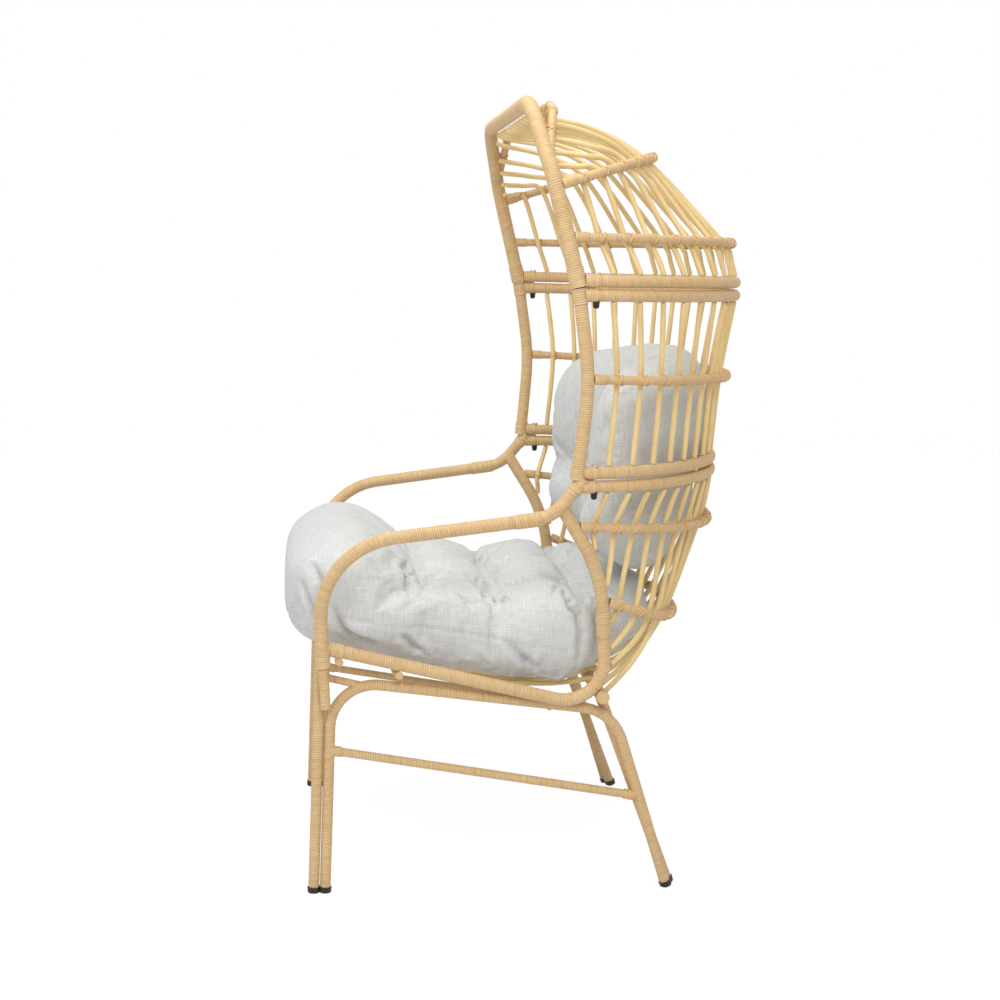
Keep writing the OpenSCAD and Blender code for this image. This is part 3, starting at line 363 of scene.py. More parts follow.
rubber = rubber_finish()
cap_profile = [(0.0085, 0.0), (0.0105, 0.0008), (0.0113, 0.0024), (0.0114, 0.0085), (0.0118, 0.0092),
               (0.0118, 0.0108), (0.0112, 0.0115), (0.0099, 0.0115)]
foot_spots = [((sign * x, y, 0), axis) for sign in (1, -1) for x, y, axis in (
    (leg_x, -0.380, (0, 0.0204, 1)), (leg_x, -0.3593, (0, 0.0204, 1)),
    (leg_x, 0.273, (0, -0.31, 0.951)), (0.311564, 0.2805, (0, -0.361, 0.932)))]
foot_caps = lathed("foot_caps", cap_profile, foot_spots)
for point in foot_caps.data.vertices:
    point.co.z = max(point.co.z, 0)
fit(foot_caps, rubber, "black", "foot_caps")

# ---- Hidden fasteners ----
# Zinc plated steel: spigots inside the arm ends, screws through the leg frames, and the bolts
# that hold the basket sections together. They keep their own shapes.


def zinc_finish():
    """Zinc plate: grey with a faint blue and yellow cast, fine turning marks."""
    finish, tree, skin = shaded("zinc plated steel", Metallic=1.0)
    place = add(tree, "TexCoord").outputs["Object"]
    cast = noise(tree, place, 160.0, 4.0)
    marks = add(tree, "TexWave", {"Vector": place, "Scale": 500.0, "Distortion": 1.5},
                bands_direction="Z").outputs[0]
    dress(tree, skin, blended(tree, cast, (0.50, 0.52, 0.55, 1), (0.66, 0.64, 0.56, 1)),
          maths(tree, "MULTIPLY_ADD", cast, 0.25, 0.25), marks, 0.15, 0.0001)
    return finish


zinc = zinc_finish()
for node in ("arm_spigots", "leg_frame_bolts", "seam_bolts"):
    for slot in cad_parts[node].material_slots:
        slot.link, slot.material = "OBJECT", zinc

# ---- Seat tubes, cross bars and seat ribs ----
# A side tube on each side comes down from the arm, bends forward and runs under the seat to the
# front leg. Two sagging bars, a rear bar and a rear cross tube carry nine ribs.
upright = (0, 0, 1)
tube_r = 0.012
side_tube = bent_line([(0.403, 0.047, 0.722), (0.383, 0.127, 0.597), (0.349, 0.145, 0.342),
                       (0.349, -0.360, 0.457)], [0.300, 0.070])
rear_tube_y, rear_tube_z, rear_tube_r = 0.1379, 0.36814, 0.011
rear_tube = bent_line([(-0.368, rear_tube_y, rear_tube_z), (0.368, rear_tube_y, rear_tube_z)])
bar_half, bar_r, bar_sag = 0.355, 1.59531, 0.040
bars = ((-0.337, 0.43256), (-0.230, 0.4082), (0.010, 0.37574))


def bar_drop(x):
    """How far a sagging bar lies below its ends: the height of a circle's arc over its chord."""
    return np.sqrt(bar_r ** 2 - x ** 2) - np.sqrt(bar_r ** 2 - bar_half ** 2)


pairs(("side_tube", side_tube, tube_r, 0.0014, [(-0.030, -0.001), (0.215, 0.262)]))
tube("rear_cross_tube", rear_tube, upright, rear_tube_r, 0.0012, [(0, 0.030), (-0.030, -0.001)])
bar_x = np.linspace(-1, 1, 121)
bar_lines = [even(np.stack([bar_x * half, np.full(121, y), z - bar_drop(bar_x * half)], 1))
             for half, (y, z) in zip((bar_half, bar_half, 0.340), bars)]
fit(wound("seat_cross_bars", [(line, upright, 0.007) for line in bar_lines]), wrap, "wrap", "seat_cross_bars")


def spline(waypoints, steps=9):
    """Smooth line through waypoints: on each span a cubic whose slopes at both ends are half of
    the step between the neighbouring points."""
    p = np.array(waypoints)
    a, b = np.vstack([p[:1], p[:-2]]), p[:-1]
    c, d = p[1:], np.vstack([p[2:], p[-1:]])
    t = (np.arange(steps) / steps)[None, :, None]
    a, b, c, d = (q[:, None] for q in (a, b, c, d))
    line = 0.5 * (2 * b + (c - a) * t + (2 * a - 5 * b + 4 * c - d) * t ** 2
                  + (3 * b - a - 3 * c + d) * t ** 3)
    return np.vstack([line.reshape(-1, 3), p[-1:]])


def rods(name, lines, sides_out, radius=0.005, sides=12):
    """Smooth rods: circles carried along each line, turned to the side direction given, closing
    to a rounded tip at both ends. The corner map is the girth and the length in metres."""
    points, faces, corners, base = [], [], [], 0
    t = np.arange(sides) * 2 * np.pi / sides
    for line, out in zip(lines, sides_out):
        line = even(line, 0.011)
        total = length_of(line)
        s = np.concatenate([[0, 0.0008, 0.0025], np.linspace(0.006, total - 0.006, len(line)),
                            [total - 0.0025, total - 0.0008, total]])
        at, way = along(line, s)
        x = unit(np.array(out) - way * (way @ np.array(out))[:, None])
        y = np.cross(way, x)
        tip = np.clip(np.minimum(s, total - s) / 0.0025, 0, 1)
        r = radius * (0.62 + 0.38 * np.sqrt(1 - (1 - tip) ** 2))
        ring = np.cos(t)[None, :, None] * x[:, None] + np.sin(t)[None, :, None] * y[:, None]
        skin = at[:, None] + r[:, None, None] * ring
        faces += ring_faces(base, len(s), sides)
        u, v = np.meshgrid(np.arange(sides + 1) / sides * 2 * np.pi * radius, s)
        uv = np.stack([u, v], -1) + [base * 0.37, base * 0.11]
        corners.append(np.stack([uv[:-1, :-1], uv[:-1, 1:], uv[1:, 1:], uv[1:, :-1]], 2).reshape(-1, 2))
        corners.append(np.zeros((2 * sides, 2)))
        points.append(skin.reshape(-1, 3))
        base += len(s) * sides
    return made(name, np.vstack(points), faces, np.vstack(corners))


def rib_set(name, ribs, sides_out):
    fit(rods(name, ribs, sides_out), cane, "rib", name)


def rib_finish():
    """Solid resin rod that looks like peeled cane: golden, with fine lengthwise grain, slow pale
    and dark stretches, and a satin surface."""
    finish, tree, skin = shaded("cane coloured rod", Specular_IOR_Level=0.5, Coat_Weight=0.12,
                                Coat_Roughness=0.35)
    girth, run = surface_map(tree)
    grain = streaks(tree, times(tree, girth, 900.0), times(tree, run, 14.0), 1.0, 4.0, 0.65)
    stretch = streaks(tree, times(tree, girth, 40.0), times(tree, run, 9.0), 1.0, 2.0)
    share = clamped(tree, swung(tree, stretch, 1.5, swung(tree, grain, 0.9)))
    dress(tree, skin, blended(tree, share, (0.70, 0.475, 0.185, 1), (0.93, 0.73, 0.37, 1)),
          maths(tree, "MULTIPLY_ADD", grain, 0.3, 0.28), grain, 0.35, 0.0003)
    return finish


cane = rib_finish()
rib_lift = 0.0144
over_tube_z = 0.38434
rib_x = np.linspace(-0.280, 0.280, 9)
seat_ribs = []
for x in rib_x:
    heights = [z - bar_drop(x) + rib_lift for y, z in bars]
    slope = (heights[0] - heights[1]) / (bars[1][0] - bars[0][0])
    tube_lift = 0.0003 + 0.0009 * bar_drop(x) / bar_sag
    seat_ribs.append(spline([(x, bars[0][0] - 0.016, heights[0] + 0.016 * slope), (x, bars[0][0], heights[0]),
                             (x, bars[1][0], heights[1]), (x, bars[2][0], heights[2] + 0.0005),
                             (x, rear_tube_y, over_tube_z + tube_lift),
                             (x, rear_tube_y + 0.015, over_tube_z + 0.005)]))
rib_set("seat_rib_set", seat_ribs, [sideways] * 9)

# ---- Arms ----
# One tube a side, slipped over the arm socket, bent back at the knee and up again into the
# lower rail of the basket, with a band of extra strand at the foot and behind the rear bend.
arm = bent_line([(0.357, -0.366, 0.424), (0.359, -0.371, 0.500), (0.395, -0.371, 0.647),
                 (0.410, 0.030, 0.703), (0.408, 0.0859, 0.7715)], [0.200, 0.150, 0.080])
pairs(("arm", arm, tube_r, 0.0013, [(0.0, 0.034), (-0.150, -0.104), (-0.028, -0.001)]))

# ---- Lower basket ----
# An arched rail under the seam, two wound rings below it, and ribs that leave the rail, run
# inside the rings and close up under the seat. Each crossing is tied with crossed strand.
rail_r, ring_r, rib_r = 0.011, 0.008, 0.005
touch = 0.0002
rib_in = 0.0132
rail_out = rail_r + touch


def arch(level, share, grow=0.0):
    """Points of a level's arch at shares of its length, from the left corner round the rear: a
    side arc, a wide rear arc and a side arc that touch each other, in a plane that may tilt."""
    w, depth, y, z, tilt, r = level
    share = np.asarray(share, float)
    rear = (w * w - 2 * w * r + depth * depth) / (2 * (depth - r))
    half = np.arctan2(w - r, rear - depth)
    side_len, rear_len = r * (np.pi / 2 - half), 2 * rear * half
    d = share * (2 * side_len + rear_len)
    a = np.where(d < side_len, np.pi / 2 - d / r,
                 np.where(d < side_len + rear_len, half - (d - side_len) / rear,
                          -half - (d - side_len - rear_len) / r))
    at_side = np.abs(a) > half
    px = np.where(at_side, np.sign(a) * (w - r) + (r + grow) * np.sin(a), (rear + grow) * np.sin(a))
    py = np.where(at_side, (r + grow) * np.cos(a), depth - rear + (rear + grow) * np.cos(a))
    tilt = np.radians(tilt)
    return np.stack([px, y + py * np.cos(tilt), z + py * np.sin(tilt)], -1)


def raised(level, dz):
    return level[:3] + (level[3] + dz,) + level[4:]


def arch_line(level, lost=0.0):
    """A level's whole arch, less a short length at each end."""
    line = even(arch(level, np.linspace(0, 1, 481)))
    return stretch_of(line, lost, length_of(line) - lost)


def across_plane(level):
    """The normal of a level's plane."""
    return (0, -np.sin(np.radians(level[4])), np.cos(np.radians(level[4])))


def level_tube(name, level, radius, lost=0.012, band=0.022):
    """A wound tube along a level's arch, with a band of extra strand at both ends."""
    tube(name, arch_line(level, lost), across_plane(level), radius, 0.0013, [(0, band), (-band, -0.0005)])


def lashings(name, crossings, strand_r=0.0012):
    """Crossed ties: at each crossing two loops run round the ring at radius ring plus strand,
    swell by a bell curve to pass over the rib, and lean to opposite sides by the sine."""
    at, way, inward, ring = (np.array(q, float) for q in zip(*crossings))
    steps, corners = 18, 4
    turn = np.arange(steps) * 2 * np.pi / steps
    near = np.abs((turn + np.pi) % (2 * np.pi) - np.pi)
    swell = 0.0108 * np.exp(-(near / 0.55) ** 2)
    over = np.cross(way, inward)
    points = []
    for lean in (0.0052, -0.0052):
        r = ring[:, None] + strand_r * 0.7 + swell
        path = (at[:, None] + (r * np.cos(turn))[..., None] * inward[:, None]
                + (r * np.sin(turn))[..., None] * over[:, None]
                + lean * np.sin(turn + 0.35)[None, :, None] * way[:, None])
        ahead_of = unit(np.roll(path, -1, 1) - np.roll(path, 1, 1))
        out = path - at[:, None]
        out = unit(out - ahead_of * (out * ahead_of).sum(-1, keepdims=True))
        beside = np.cross(ahead_of, out)
        q = np.arange(corners) * np.pi / 2 + np.pi / 4
        points.append(path[:, :, None] + strand_r * 1.15 * (np.cos(q)[:, None] * out[:, :, None]
                                                             + np.sin(q)[:, None] * beside[:, :, None]))
    points = np.concatenate(points)
    k, i, j = np.meshgrid(np.arange(len(points)), np.arange(steps), np.arange(corners), indexing="ij")
    here, ahead = (k * steps + i) * corners, (k * steps + (i + 1) % steps) * corners
    after = (j + 1) % corners
    faces = np.stack([here + j, here + after, ahead + after, ahead + j], -1).reshape(-1, 4)
    run = np.stack([i, i, i + 1, i + 1], -1) * 0.0045 + k[..., None] * 0.37
    side = np.stack([j, j + 1, j + 1, j], -1) % corners
    uv = np.stack([run, 0.3 + 0.13 * side], -1).reshape(-1, 2)
    return made(name, points.reshape(-1, 3), faces.tolist(), uv, sharp=80)


def crossing(level, share, line=None):
    """Where a rib passes inside a ring: the ring's point, its direction, the inward direction
    and the ring's radius."""
    way = unit(arch(level, share + 0.002) - arch(level, share - 0.002))
    return arch(level, share), way, unit(arch(level, share, -0.01) - arch(level, share)), ring_r


def shares(count):
    return 0.05 + 0.9 * np.arange(count) / (count - 1)


low_rail = (0.408, 0.319, 0.073, 0.75775, 0, 0.23925)
lower_ring = (0.39724, 0.322, 0.07004, 0.686, -4.5, 0.2415)
bottom_ring = (0.376733, 0.203, 0.130318, 0.550, -19.5, 0.15225)
level_tube("lower_rail", low_rail, rail_r, 0.008)
level_tube("lower_ring", lower_ring, ring_r)
level_tube("bottom_ring", bottom_ring, ring_r)

low_shares = shares(24)
side_run = side_tube[:, 2]
spread_ring, spread_bottom, spread_end = 1.03, 1.24, 1.95


def spread_out(share, k):
    return 0.5 + (share - 0.5) * k


def lower_rib(share):
    """Waypoints from the rail through both rings: the shares spread from the middle going down,
    and a rib ends under the rear cross tube, or on the side tube if it has spread too far."""
    way = [arch(raised(low_rail, -rail_out), share),
           arch(lower_ring, spread_out(share, spread_ring), -rib_in - 0.001)]
    if abs(share - 0.5) * spread_bottom < 0.5:
        way.append(arch(bottom_ring, spread_out(share, spread_bottom), -rib_in - 0.001))
    if abs(share - 0.5) * spread_end < 0.5:
        lean = np.radians(20)
        reach = rear_tube_r + touch
        end = np.array([(0.5 - share) * spread_end * 2 * 0.333, rear_tube_y + reach * np.cos(lean),
                        rear_tube_z + reach * np.sin(lean)])
    else:
        z = np.interp(0.5 / abs(0.5 - share), [spread_ring, spread_bottom, 1.33, 1.48, 1.67, spread_end],
                      [0.686, 0.560, 0.512, 0.462, 0.434, 0.410])
        k = np.argmax(side_run < z)
        t = side_tube[k] - side_tube[k - 1]
        normal = np.array([0, -t[2], t[1]]) / np.hypot(t[1], t[2])
        on_tube = side_tube[k] + normal * (tube_r + 0.0005)
        end = np.array([np.sign(0.5 - share) * (on_tube[0] - 0.002), on_tube[1], on_tube[2]])
    span = np.linalg.norm(end - way[-1])
    sag = span * (0.08 if len(way) > 2 else 0.02) * np.array([0, 0.5, -0.86])
    return way + [(way[-1] + end) / 2 + sag, end]


def rail_way(level, share):
    """The level direction along the arch, which a rib's round section is turned to."""
    return arch(level, share + 0.004) - arch(level, share - 0.004)


rib_set("lower_rib_set", [spline(lower_rib(s)) for s in low_shares],
        [rail_way(low_rail, s) for s in low_shares])
low_ties = [crossing(lower_ring, spread_out(s, spread_ring)) for s in low_shares]
low_ties += [crossing(bottom_ring, spread_out(s, spread_bottom)) for s in low_shares
             if abs(s - 0.5) * spread_bottom < 0.49]
fit(lashings("lower_lashings", low_ties), wrap, "wrap")

# ---- Middle basket ----
# Two short bowed posts join a lower and an upper rail, with one ring between them and 22
# upright ribs inside it.
mid_low = (0.408, 0.319, 0.073, 0.78225, 0, 0.23925)
mid_high = (0.430, 0.365, 0.064, 1.09175, 0, 0.27375)
mid_ring = (0.4214, 0.334, 0.084, 0.94702, -1.5, 0.2505)
post = bent_line([(0.408, 0.073, 0.7705), (0.4234, 0.088, 0.94368), (0.430, 0.064, 1.1035)], [0.450])
pairs(("middle_tube", post, tube_r, 0.0013, [(0, 0.028), (-0.028, -0.0005)]))
level_tube("middle_bottom_rail", mid_low, rail_r, 0.010)
level_tube("middle_top_rail", mid_high, rail_r, 0.010)
level_tube("middle_ring", mid_ring, ring_r)
mid_shares = shares(22)
mid_ribs = [spline([arch(raised(mid_low, rail_out), s), arch(mid_ring, s, -rib_in),
                    arch(raised(mid_high, -rail_out), s)]) for s in mid_shares]
rib_set("middle_rib_set", mid_ribs, [rail_way(mid_low, s) for s in mid_shares])
fit(lashings("middle_lashings", [crossing(mid_ring, s) for s in mid_shares]), wrap, "wrap")

# ---- Hood ----
# A thick leaning hoop, a rail on the upper seam, two rings and a crown ring behind the hoop's
# top bar. The ribs rise inside the rings, bend forward and end on the hoop.
hoop_r = 0.014
hoop_bends = [(0.422, 0.01491, 1.298), (0.335, -0.01672, 1.423)]


def symmetric(left, radii):
    """A bent line from its left corners and their mirror images."""
    return bent_line(left + [(-x, y, z) for x, y, z in left[::-1]], radii + radii[::-1])


hoop = symmetric([(0.430, 0.064, 1.1045)] + hoop_bends, [0.120, 0.090])
hoop_lean = np.radians(14.2)
hoop_normal = np.array([0, np.cos(hoop_lean), np.sin(hoop_lean)])
crown = symmetric([(0.410, 0.00985, 1.318), (0.337, 0.02528, 1.419)], [0.090])
hood_rail = (0.430, 0.365, 0.064, 1.11625, 0, 0.27375)
hood_low = (0.426454, 0.378, 0.04224, 1.190, 0, 0.2835)
hood_high = (0.422948, 0.247, 0.02073, 1.275, 17.6, 0.18525)
tube("hood_hoop", hoop, hoop_normal, hoop_r, 0.0013, [(0.0, 0.034), (-0.034, -0.0005)])
tube("hood_crown_ring", stretch_of(crown, 0.010, -0.010), (0, 1, 0), ring_r)
level_tube("hood_bottom_rail", hood_rail, rail_r, 0.010, 0.024)
level_tube("hood_lower_ring", hood_low, ring_r, band=0.024)
level_tube("hood_upper_ring", hood_high, ring_r, band=0.024)

arch_hoop = symmetric([(0.422948, 0.02073, 1.275)] + hoop_bends, [0.120, 0.090])
arch_hoop_len, crown_len = length_of(arch_hoop), length_of(crown)
crown_lost = (1 - crown_len / arch_hoop_len) / 2


def hoop_share(share):
    """Where along the hoop a rib ends: the shares lie closer together at the posts."""
    near = np.interp(min(share, 1 - share), [0, 0.05, 0.18, 0.5], [0.018, 0.044, 0.128, 0.5])
    return near if share <= 0.5 else 1 - near


def crown_share(u):
    return (u - crown_lost) / (1 - 2 * crown_lost)


def under_crown(u, high):
    """Where a rib coming from high passes under the crown ring to the hoop's share u: ring radius
    plus rib radius and 4.5 mm inside the crown's axis. Returns it, the inward way and the crown's point."""
    on_hoop, tangent = (q[0] for q in along(arch_hoop, [u * arch_hoop_len]))
    way = unit(high - on_hoop)
    drop = unit(np.cross(tangent, way))
    v = crown_share(u)
    on_crown = along(crown, [v * crown_len])[0][0] if 0 < v < 1 else on_hoop
    to_crown = on_crown - on_hoop
    far, low = max(hoop_r + 0.006, to_crown @ way), max(0.008, to_crown @ drop + rib_in + 0.0045)
    return on_hoop + way * far + drop * low, drop, on_crown


def hood_rib(share):
    """Waypoints: rail, a bowed point, both rings, a bowed point, under the crown, the hoop's rear."""
    rail = arch(raised(hood_rail, rail_out), share)
    low, high = arch(hood_low, share, -rib_in - 0.003), arch(hood_high, share, -rib_in - 0.002)
    under, drop, _ = under_crown(hoop_share(share), high)
    on_hoop, tangent = (q[0] for q in along(arch_hoop, [hoop_share(share) * arch_hoop_len]))
    out = unit(np.array([rail[0], rail[1] - 0.064, 0]))
    aim = on_hoop + drop * 0.007
    to_rib = unit(under - aim)
    slant = np.linalg.norm(to_rib - tangent * (to_rib @ tangent))
    return [rail, (rail + low) / 2 + 0.003 * out, low, high,
            high + (under - high) * 0.52 - drop * 0.085 * np.linalg.norm(high - under),
            under, aim + to_rib * (hoop_r + 0.0010) / slant]


hood_shares = shares(22)
rib_set("hood_rib_set", [spline(hood_rib(s)) for s in hood_shares],
        [rail_way(hood_rail, s) for s in hood_shares])
hood_ties = [crossing(level, s) for level in (hood_low, hood_high) for s in hood_shares]
for s in hood_shares[3:-3]:
    under, _, on_crown = under_crown(hoop_share(s), arch(hood_high, s, -rib_in - 0.002))
    way = along(crown, [np.clip(crown_share(hoop_share(s)), 0, 1) * crown_len])[1][0]
    inward = under - on_crown
    hood_ties.append((on_crown, way, unit(inward - way * (inward @ way)), ring_r))
fit(lashings("hood_lashings", hood_ties), wrap, "wrap")

# ---- Cap nuts ----
# Black plastic domed nuts on the lower ends of the seam bolts, three to a seam, with a round
# flange against the rail.
bolt_set = 0.031
nut_profile = [(0.0030, 0.0), (0.0066, 0.0), (0.0069, 0.0008), (0.0066, 0.0020), (0.0057, 0.0022),
               (0.0057, 0.0068), (0.0053, 0.0088), (0.0043, 0.0105), (0.0028, 0.0116), (0.0010, 0.0120)]
nut_spots = []
for level in (low_rail, mid_high):
    whole = length_of(arch_line(level))
    for share in (bolt_set / whole, 0.5, 1 - bolt_set / whole):
        x, y, z = arch(level, share)
        nut_spots.append(((x, y, z - rail_r - 0.0001), (0, 0, -1)))
fit(lathed("cap_nuts", nut_profile, nut_spots, 24), rubber, "black", "cap_nuts")

# ---- Seat cushion ----
# A loose bag of slubby linen packed with fibre. Nine ties pull its top down into pits, with
# shallow folds from pit to pit, and its front rolls over the first cross bar.
seat_half_w, seat_half_d, seat_mid_y, seat_thick = 0.3356, 0.351, -0.089, 0.196
deck_y = [-0.337, -0.230, 0.010, 0.1379]
deck_top = [0.45196, 0.4276, 0.39564, 0.39054]
ties = np.array([(x, y) for x in (-0.205, 0.0, 0.205) for y in (-0.190, -0.045, 0.100)])


def power(x, e):
    return np.sign(x) * np.abs(x) ** e


def bell(distance, width):
    return np.exp(-(distance / width) ** 2)


def deck_sag(x, y):
    """The bars' sag, which fades out from the rear bar to the rear cross tube."""
    return bar_drop(np.clip(x, -0.34, 0.34)) * np.interp(y, [0.010, 0.1379], [1, 0])


def deck(x, y):
    """Top of the seat's ribs: straight between the bars, less the sag of the bars in front."""
    return np.interp(y, deck_y, deck_top) - deck_sag(x, y)


def seat_top(x, y, c):
    """Height of the cushion's top at the share c of its plan: half its thickness, more towards
    the middle by a blunt power curve, plus a roll along the front edge."""
    bulge = np.maximum(0, 1 - np.minimum(c, 1) ** 4.76) ** 0.31
    return (np.interp(y, deck_y, deck_top) + seat_thick / 2 * (1 + bulge)
            + 0.015 * bell(y + 0.322, 0.082) * bulge)


def side_sag(x, y):
    """How far the cushion's sides hang below the ribs' level, between the outer ribs and the rails."""
    outer = np.clip((np.abs(x) - 0.286) / 0.020, 0, 1)
    return 0.032 * outer * np.interp(y, [-0.33, -0.10, -0.02, 0.01, 0.04, 0.06, 0.125, 0.150],
                                     [0.0, 0.35, 0.6, 0.3, 0.7, 1.0, 0.9, 0.0])


def seat_skin(up, turn):
    """Closed skin: a blunt power curve from pole to pole, on a plan that is nearly square in
    front and round behind, standing on the deck, with a pit at each tie and folds between."""
    c = power(np.cos(up), np.where(up < 0, 0.24, 0.42))
    behind = np.sin(turn) > 0
    x = (seat_half_w - 0.008) * c * power(np.cos(turn), np.where(behind, 0.6, 0.36))
    y = seat_mid_y + (seat_half_d - 0.008) * c * power(np.sin(turn), np.where(behind, 0.72, 0.36))
    top = seat_top(x, y, c) - 0.006 - 0.040 * bell(y + 0.085, 0.135)
    sink = np.abs(np.sin(up)) ** np.where(y > rear_tube_y, 1.1, 0.34)
    low = np.interp(y, deck_y, deck_top) + seat_thick / 2 * (1 - sink)
    drop = np.abs(np.sin(up)) ** 1.5 * deck_sag(x, y)
    return np.stack([x, y, np.where(up > 0, top, low - drop + 0.0003 - side_sag(x, y))], -1)


def to_ties(points):
    """Distances over the plan to the nearest tie, and to the nearest fold line through the ties,
    along the seat and across it."""
    pit = np.linalg.norm(points[:, None, :2] - ties, axis=2).min(1)
    lengthwise = np.abs(points[:, None, 0] - np.unique(ties[:, 0])).min(1)
    crosswise = np.abs(points[:, None, 1] - np.unique(ties[:, 1])).min(1)
    inside = (points[:, 1] > -0.24) & (points[:, 1] < 0.13)
    return (pit, np.where(inside & (np.abs(points[:, 0]) < 0.22), lengthwise, 1.0),
            np.where(inside & (np.abs(points[:, 0]) < 0.29), crosswise, 1.0))


def closed_grid(name, skin, rows=70, columns=160):
    """A closed mesh from a skin of two angles, from pole to pole and round."""
    up, turn = np.meshgrid(np.radians(np.linspace(-89.7, 89.7, rows)),
                           np.arange(columns) * 2 * np.pi / columns, indexing="ij")
    points = skin(up, turn).reshape(-1, 3)
    return made(name, points, ring_faces(0, rows, columns))


def now(piece):
    """Replaces a piece's mesh by the one its modifiers give."""
    depsgraph = bpy.context.evaluated_depsgraph_get()
    mesh = bpy.data.meshes.new_from_object(piece.evaluated_get(depsgraph))
    piece.modifiers.clear()
    piece.data = mesh


def read(piece, what="vertices", field="co"):
    items = getattr(piece.data, what)
    values = np.empty(len(items) * 3, np.float32)
    items.foreach_get(field, values)
    return values.reshape(-1, 3).astype(float)


def write(piece, points):
    piece.data.vertices.foreach_set("co", points.ravel())


def remeshed(piece, voxel=0.006):
    """Gives a closed skin an even mesh of the voxel's size."""
    remesh = piece.modifiers.new("even", "REMESH")
    remesh.mode, remesh.voxel_size = "VOXEL", voxel
    now(piece)


def stuffed(piece, held, cap, slack, pressure=4.0):
    """Swells a skin as stuffing does. The skin is remeshed evenly, cut larger than it is by the
    slack, held at the weights given, and blown up; no point moves further than the cap."""
    remeshed(piece)
    before = read(piece)
    normals = read(piece, "vertex_normals", "vector")
    weights, caps = held(before, normals), cap(before, normals)
    group = piece.vertex_groups.new(name="held")
    for level in np.unique(np.round(weights, 1)):
        chosen = np.nonzero(np.round(weights, 1) == level)[0].tolist()
        group.add(chosen, float(level), "REPLACE")
    cloth = piece.modifiers.new("cloth", "CLOTH")
    for setting, value in dict(quality=6, mass=0.25, tension_stiffness=12, compression_stiffness=8,
                               shear_stiffness=4, bending_stiffness=0.15, use_pressure=True,
                               uniform_pressure_force=pressure, shrink_min=-slack,
                               vertex_group_mass="held").items():
        setattr(cloth.settings, setting, value)
    cloth.settings.effector_weights.gravity = 0
    cloth.collision_settings.use_collision = False
    cloth.point_cache.frame_start, cloth.point_cache.frame_end = 1, 20
    for step in range(1, 21):
        scene.frame_set(step)
    now(piece)
    scene.frame_set(1)
    moved = read(piece) - before
    far = np.linalg.norm(moved, axis=1, keepdims=True)
    moved *= np.minimum(1, caps[:, None] / np.maximum(far, 1e-9))
    write(piece, before + moved)
    fine = piece.modifiers.new("fine", "SUBSURF")
    fine.levels = fine.render_levels = 1
    now(piece)
    return read(piece), read(piece, "vertex_normals", "vector")


def to_path(points, path):
    """Distance of each point to a line of points, and how far along the line, 0 to 1."""
    path = np.array(path)
    best, share = np.full(len(points), 9.0), np.zeros(len(points))
    for k, (a, b) in enumerate(zip(path[:-1], path[1:])):
        if (a == b).all():
            continue
        t = np.clip((points - a) @ (b - a) / ((b - a) @ (b - a)), 0, 1)
        d = np.linalg.norm(points - a - t[:, None] * (b - a), axis=1)
        closer = d < best
        best, share = np.where(closer, d, best), np.where(closer, (k + t) / (len(path) - 1), share)
    return best, share


def folded(points, normals, folds):
    """Presses folds into a skin: each path is laid on the skin, and along it runs a bell-shaped
    valley that fades to both ends, with a lower swell on both sides."""
    shift = np.zeros(len(points))
    for path, depth, width in folds:
        laid = [points[np.argmin(np.linalg.norm(points - q, axis=1))] for q in even(np.array(path), 0.010)]
        d, t = to_path(points, laid)
        fade = np.sin(np.pi * np.clip(t * 0.92 + 0.04, 0, 1)) ** 0.6
        shift += fade * depth * (0.35 * bell(d - 2.4 * width, 1.5 * width) - bell(d, width))
    return points + normals * shift[:, None]


def linen_finish():
    """Plain weave of slubby yarn, read from the three flat directions and mixed by the way the
    cloth faces: fine checker of yarn backs, thicker and paler yarn here and there both ways."""
    weave, given, out = node_group("plain weave", ("Warp", "Weft"), ("Height", "Slub"))
    u, v = given["Warp"], given["Weft"]
    yarn = 2 * np.pi / 0.0011
    checker = times(weave, maths(weave, "SINE", times(weave, u, yarn)),
                    maths(weave, "SINE", times(weave, v, yarn)))
    warp = streaks(weave, times(weave, u, 28.0), times(weave, v, 420.0), 1.0, 4.0, 0.75)
    weft = streaks(weave, times(weave, u, 420.0), times(weave, v, 28.0), 1.0, 4.0, 0.75)
    slub = times(weave, maths(weave, "ADD", warp, weft), 0.5)
    weave.links.new(maths(weave, "MULTIPLY_ADD", checker, 0.25, slub), out["Height"])
    weave.links.new(slub, out["Slub"])
    finish, tree, skin = shaded("slubby linen", Roughness=0.88, Specular_IOR_Level=0.25, Sheen_Weight=0.25,
                                Sheen_Roughness=0.5)
    source = add(tree, "TexCoord").outputs
    place = add(tree, "SeparateXYZ", {0: source["Object"]}).outputs
    facing = [maths(tree, "ABSOLUTE", n) for n in add(tree, "SeparateXYZ", {0: source["Normal"]}).outputs]
    height = slub_tone = None
    for face, a, b in ((0, 1, 2), (1, 0, 2), (2, 0, 1)):
        lead = maths(tree, "SUBTRACT", facing[face], maths(tree, "MAXIMUM", facing[a], facing[b]))
        share = add(tree, "MapRange", {0: lead, 1: -0.12, 2: 0.12}).outputs[0]
        cloth = add(tree, "Group", {"Warp": place[a], "Weft": place[b]}, node_tree=weave)
        parts = [times(tree, share, cloth.outputs[k]) for k in ("Height", "Slub")]
        height = parts[0] if height is None else maths(tree, "ADD", height, parts[0])
        slub_tone = parts[1] if slub_tone is None else maths(tree, "ADD", slub_tone, parts[1])
    tone = clamped(tree, swung(tree, slub_tone, 3.2, clouds(tree, 5.0, 0.35)))
    dress(tree, skin, blended(tree, tone, (0.50, 0.515, 0.505, 1), (0.76, 0.77, 0.755, 1)),
          None, height, 0.35, 0.0009)
    return finish


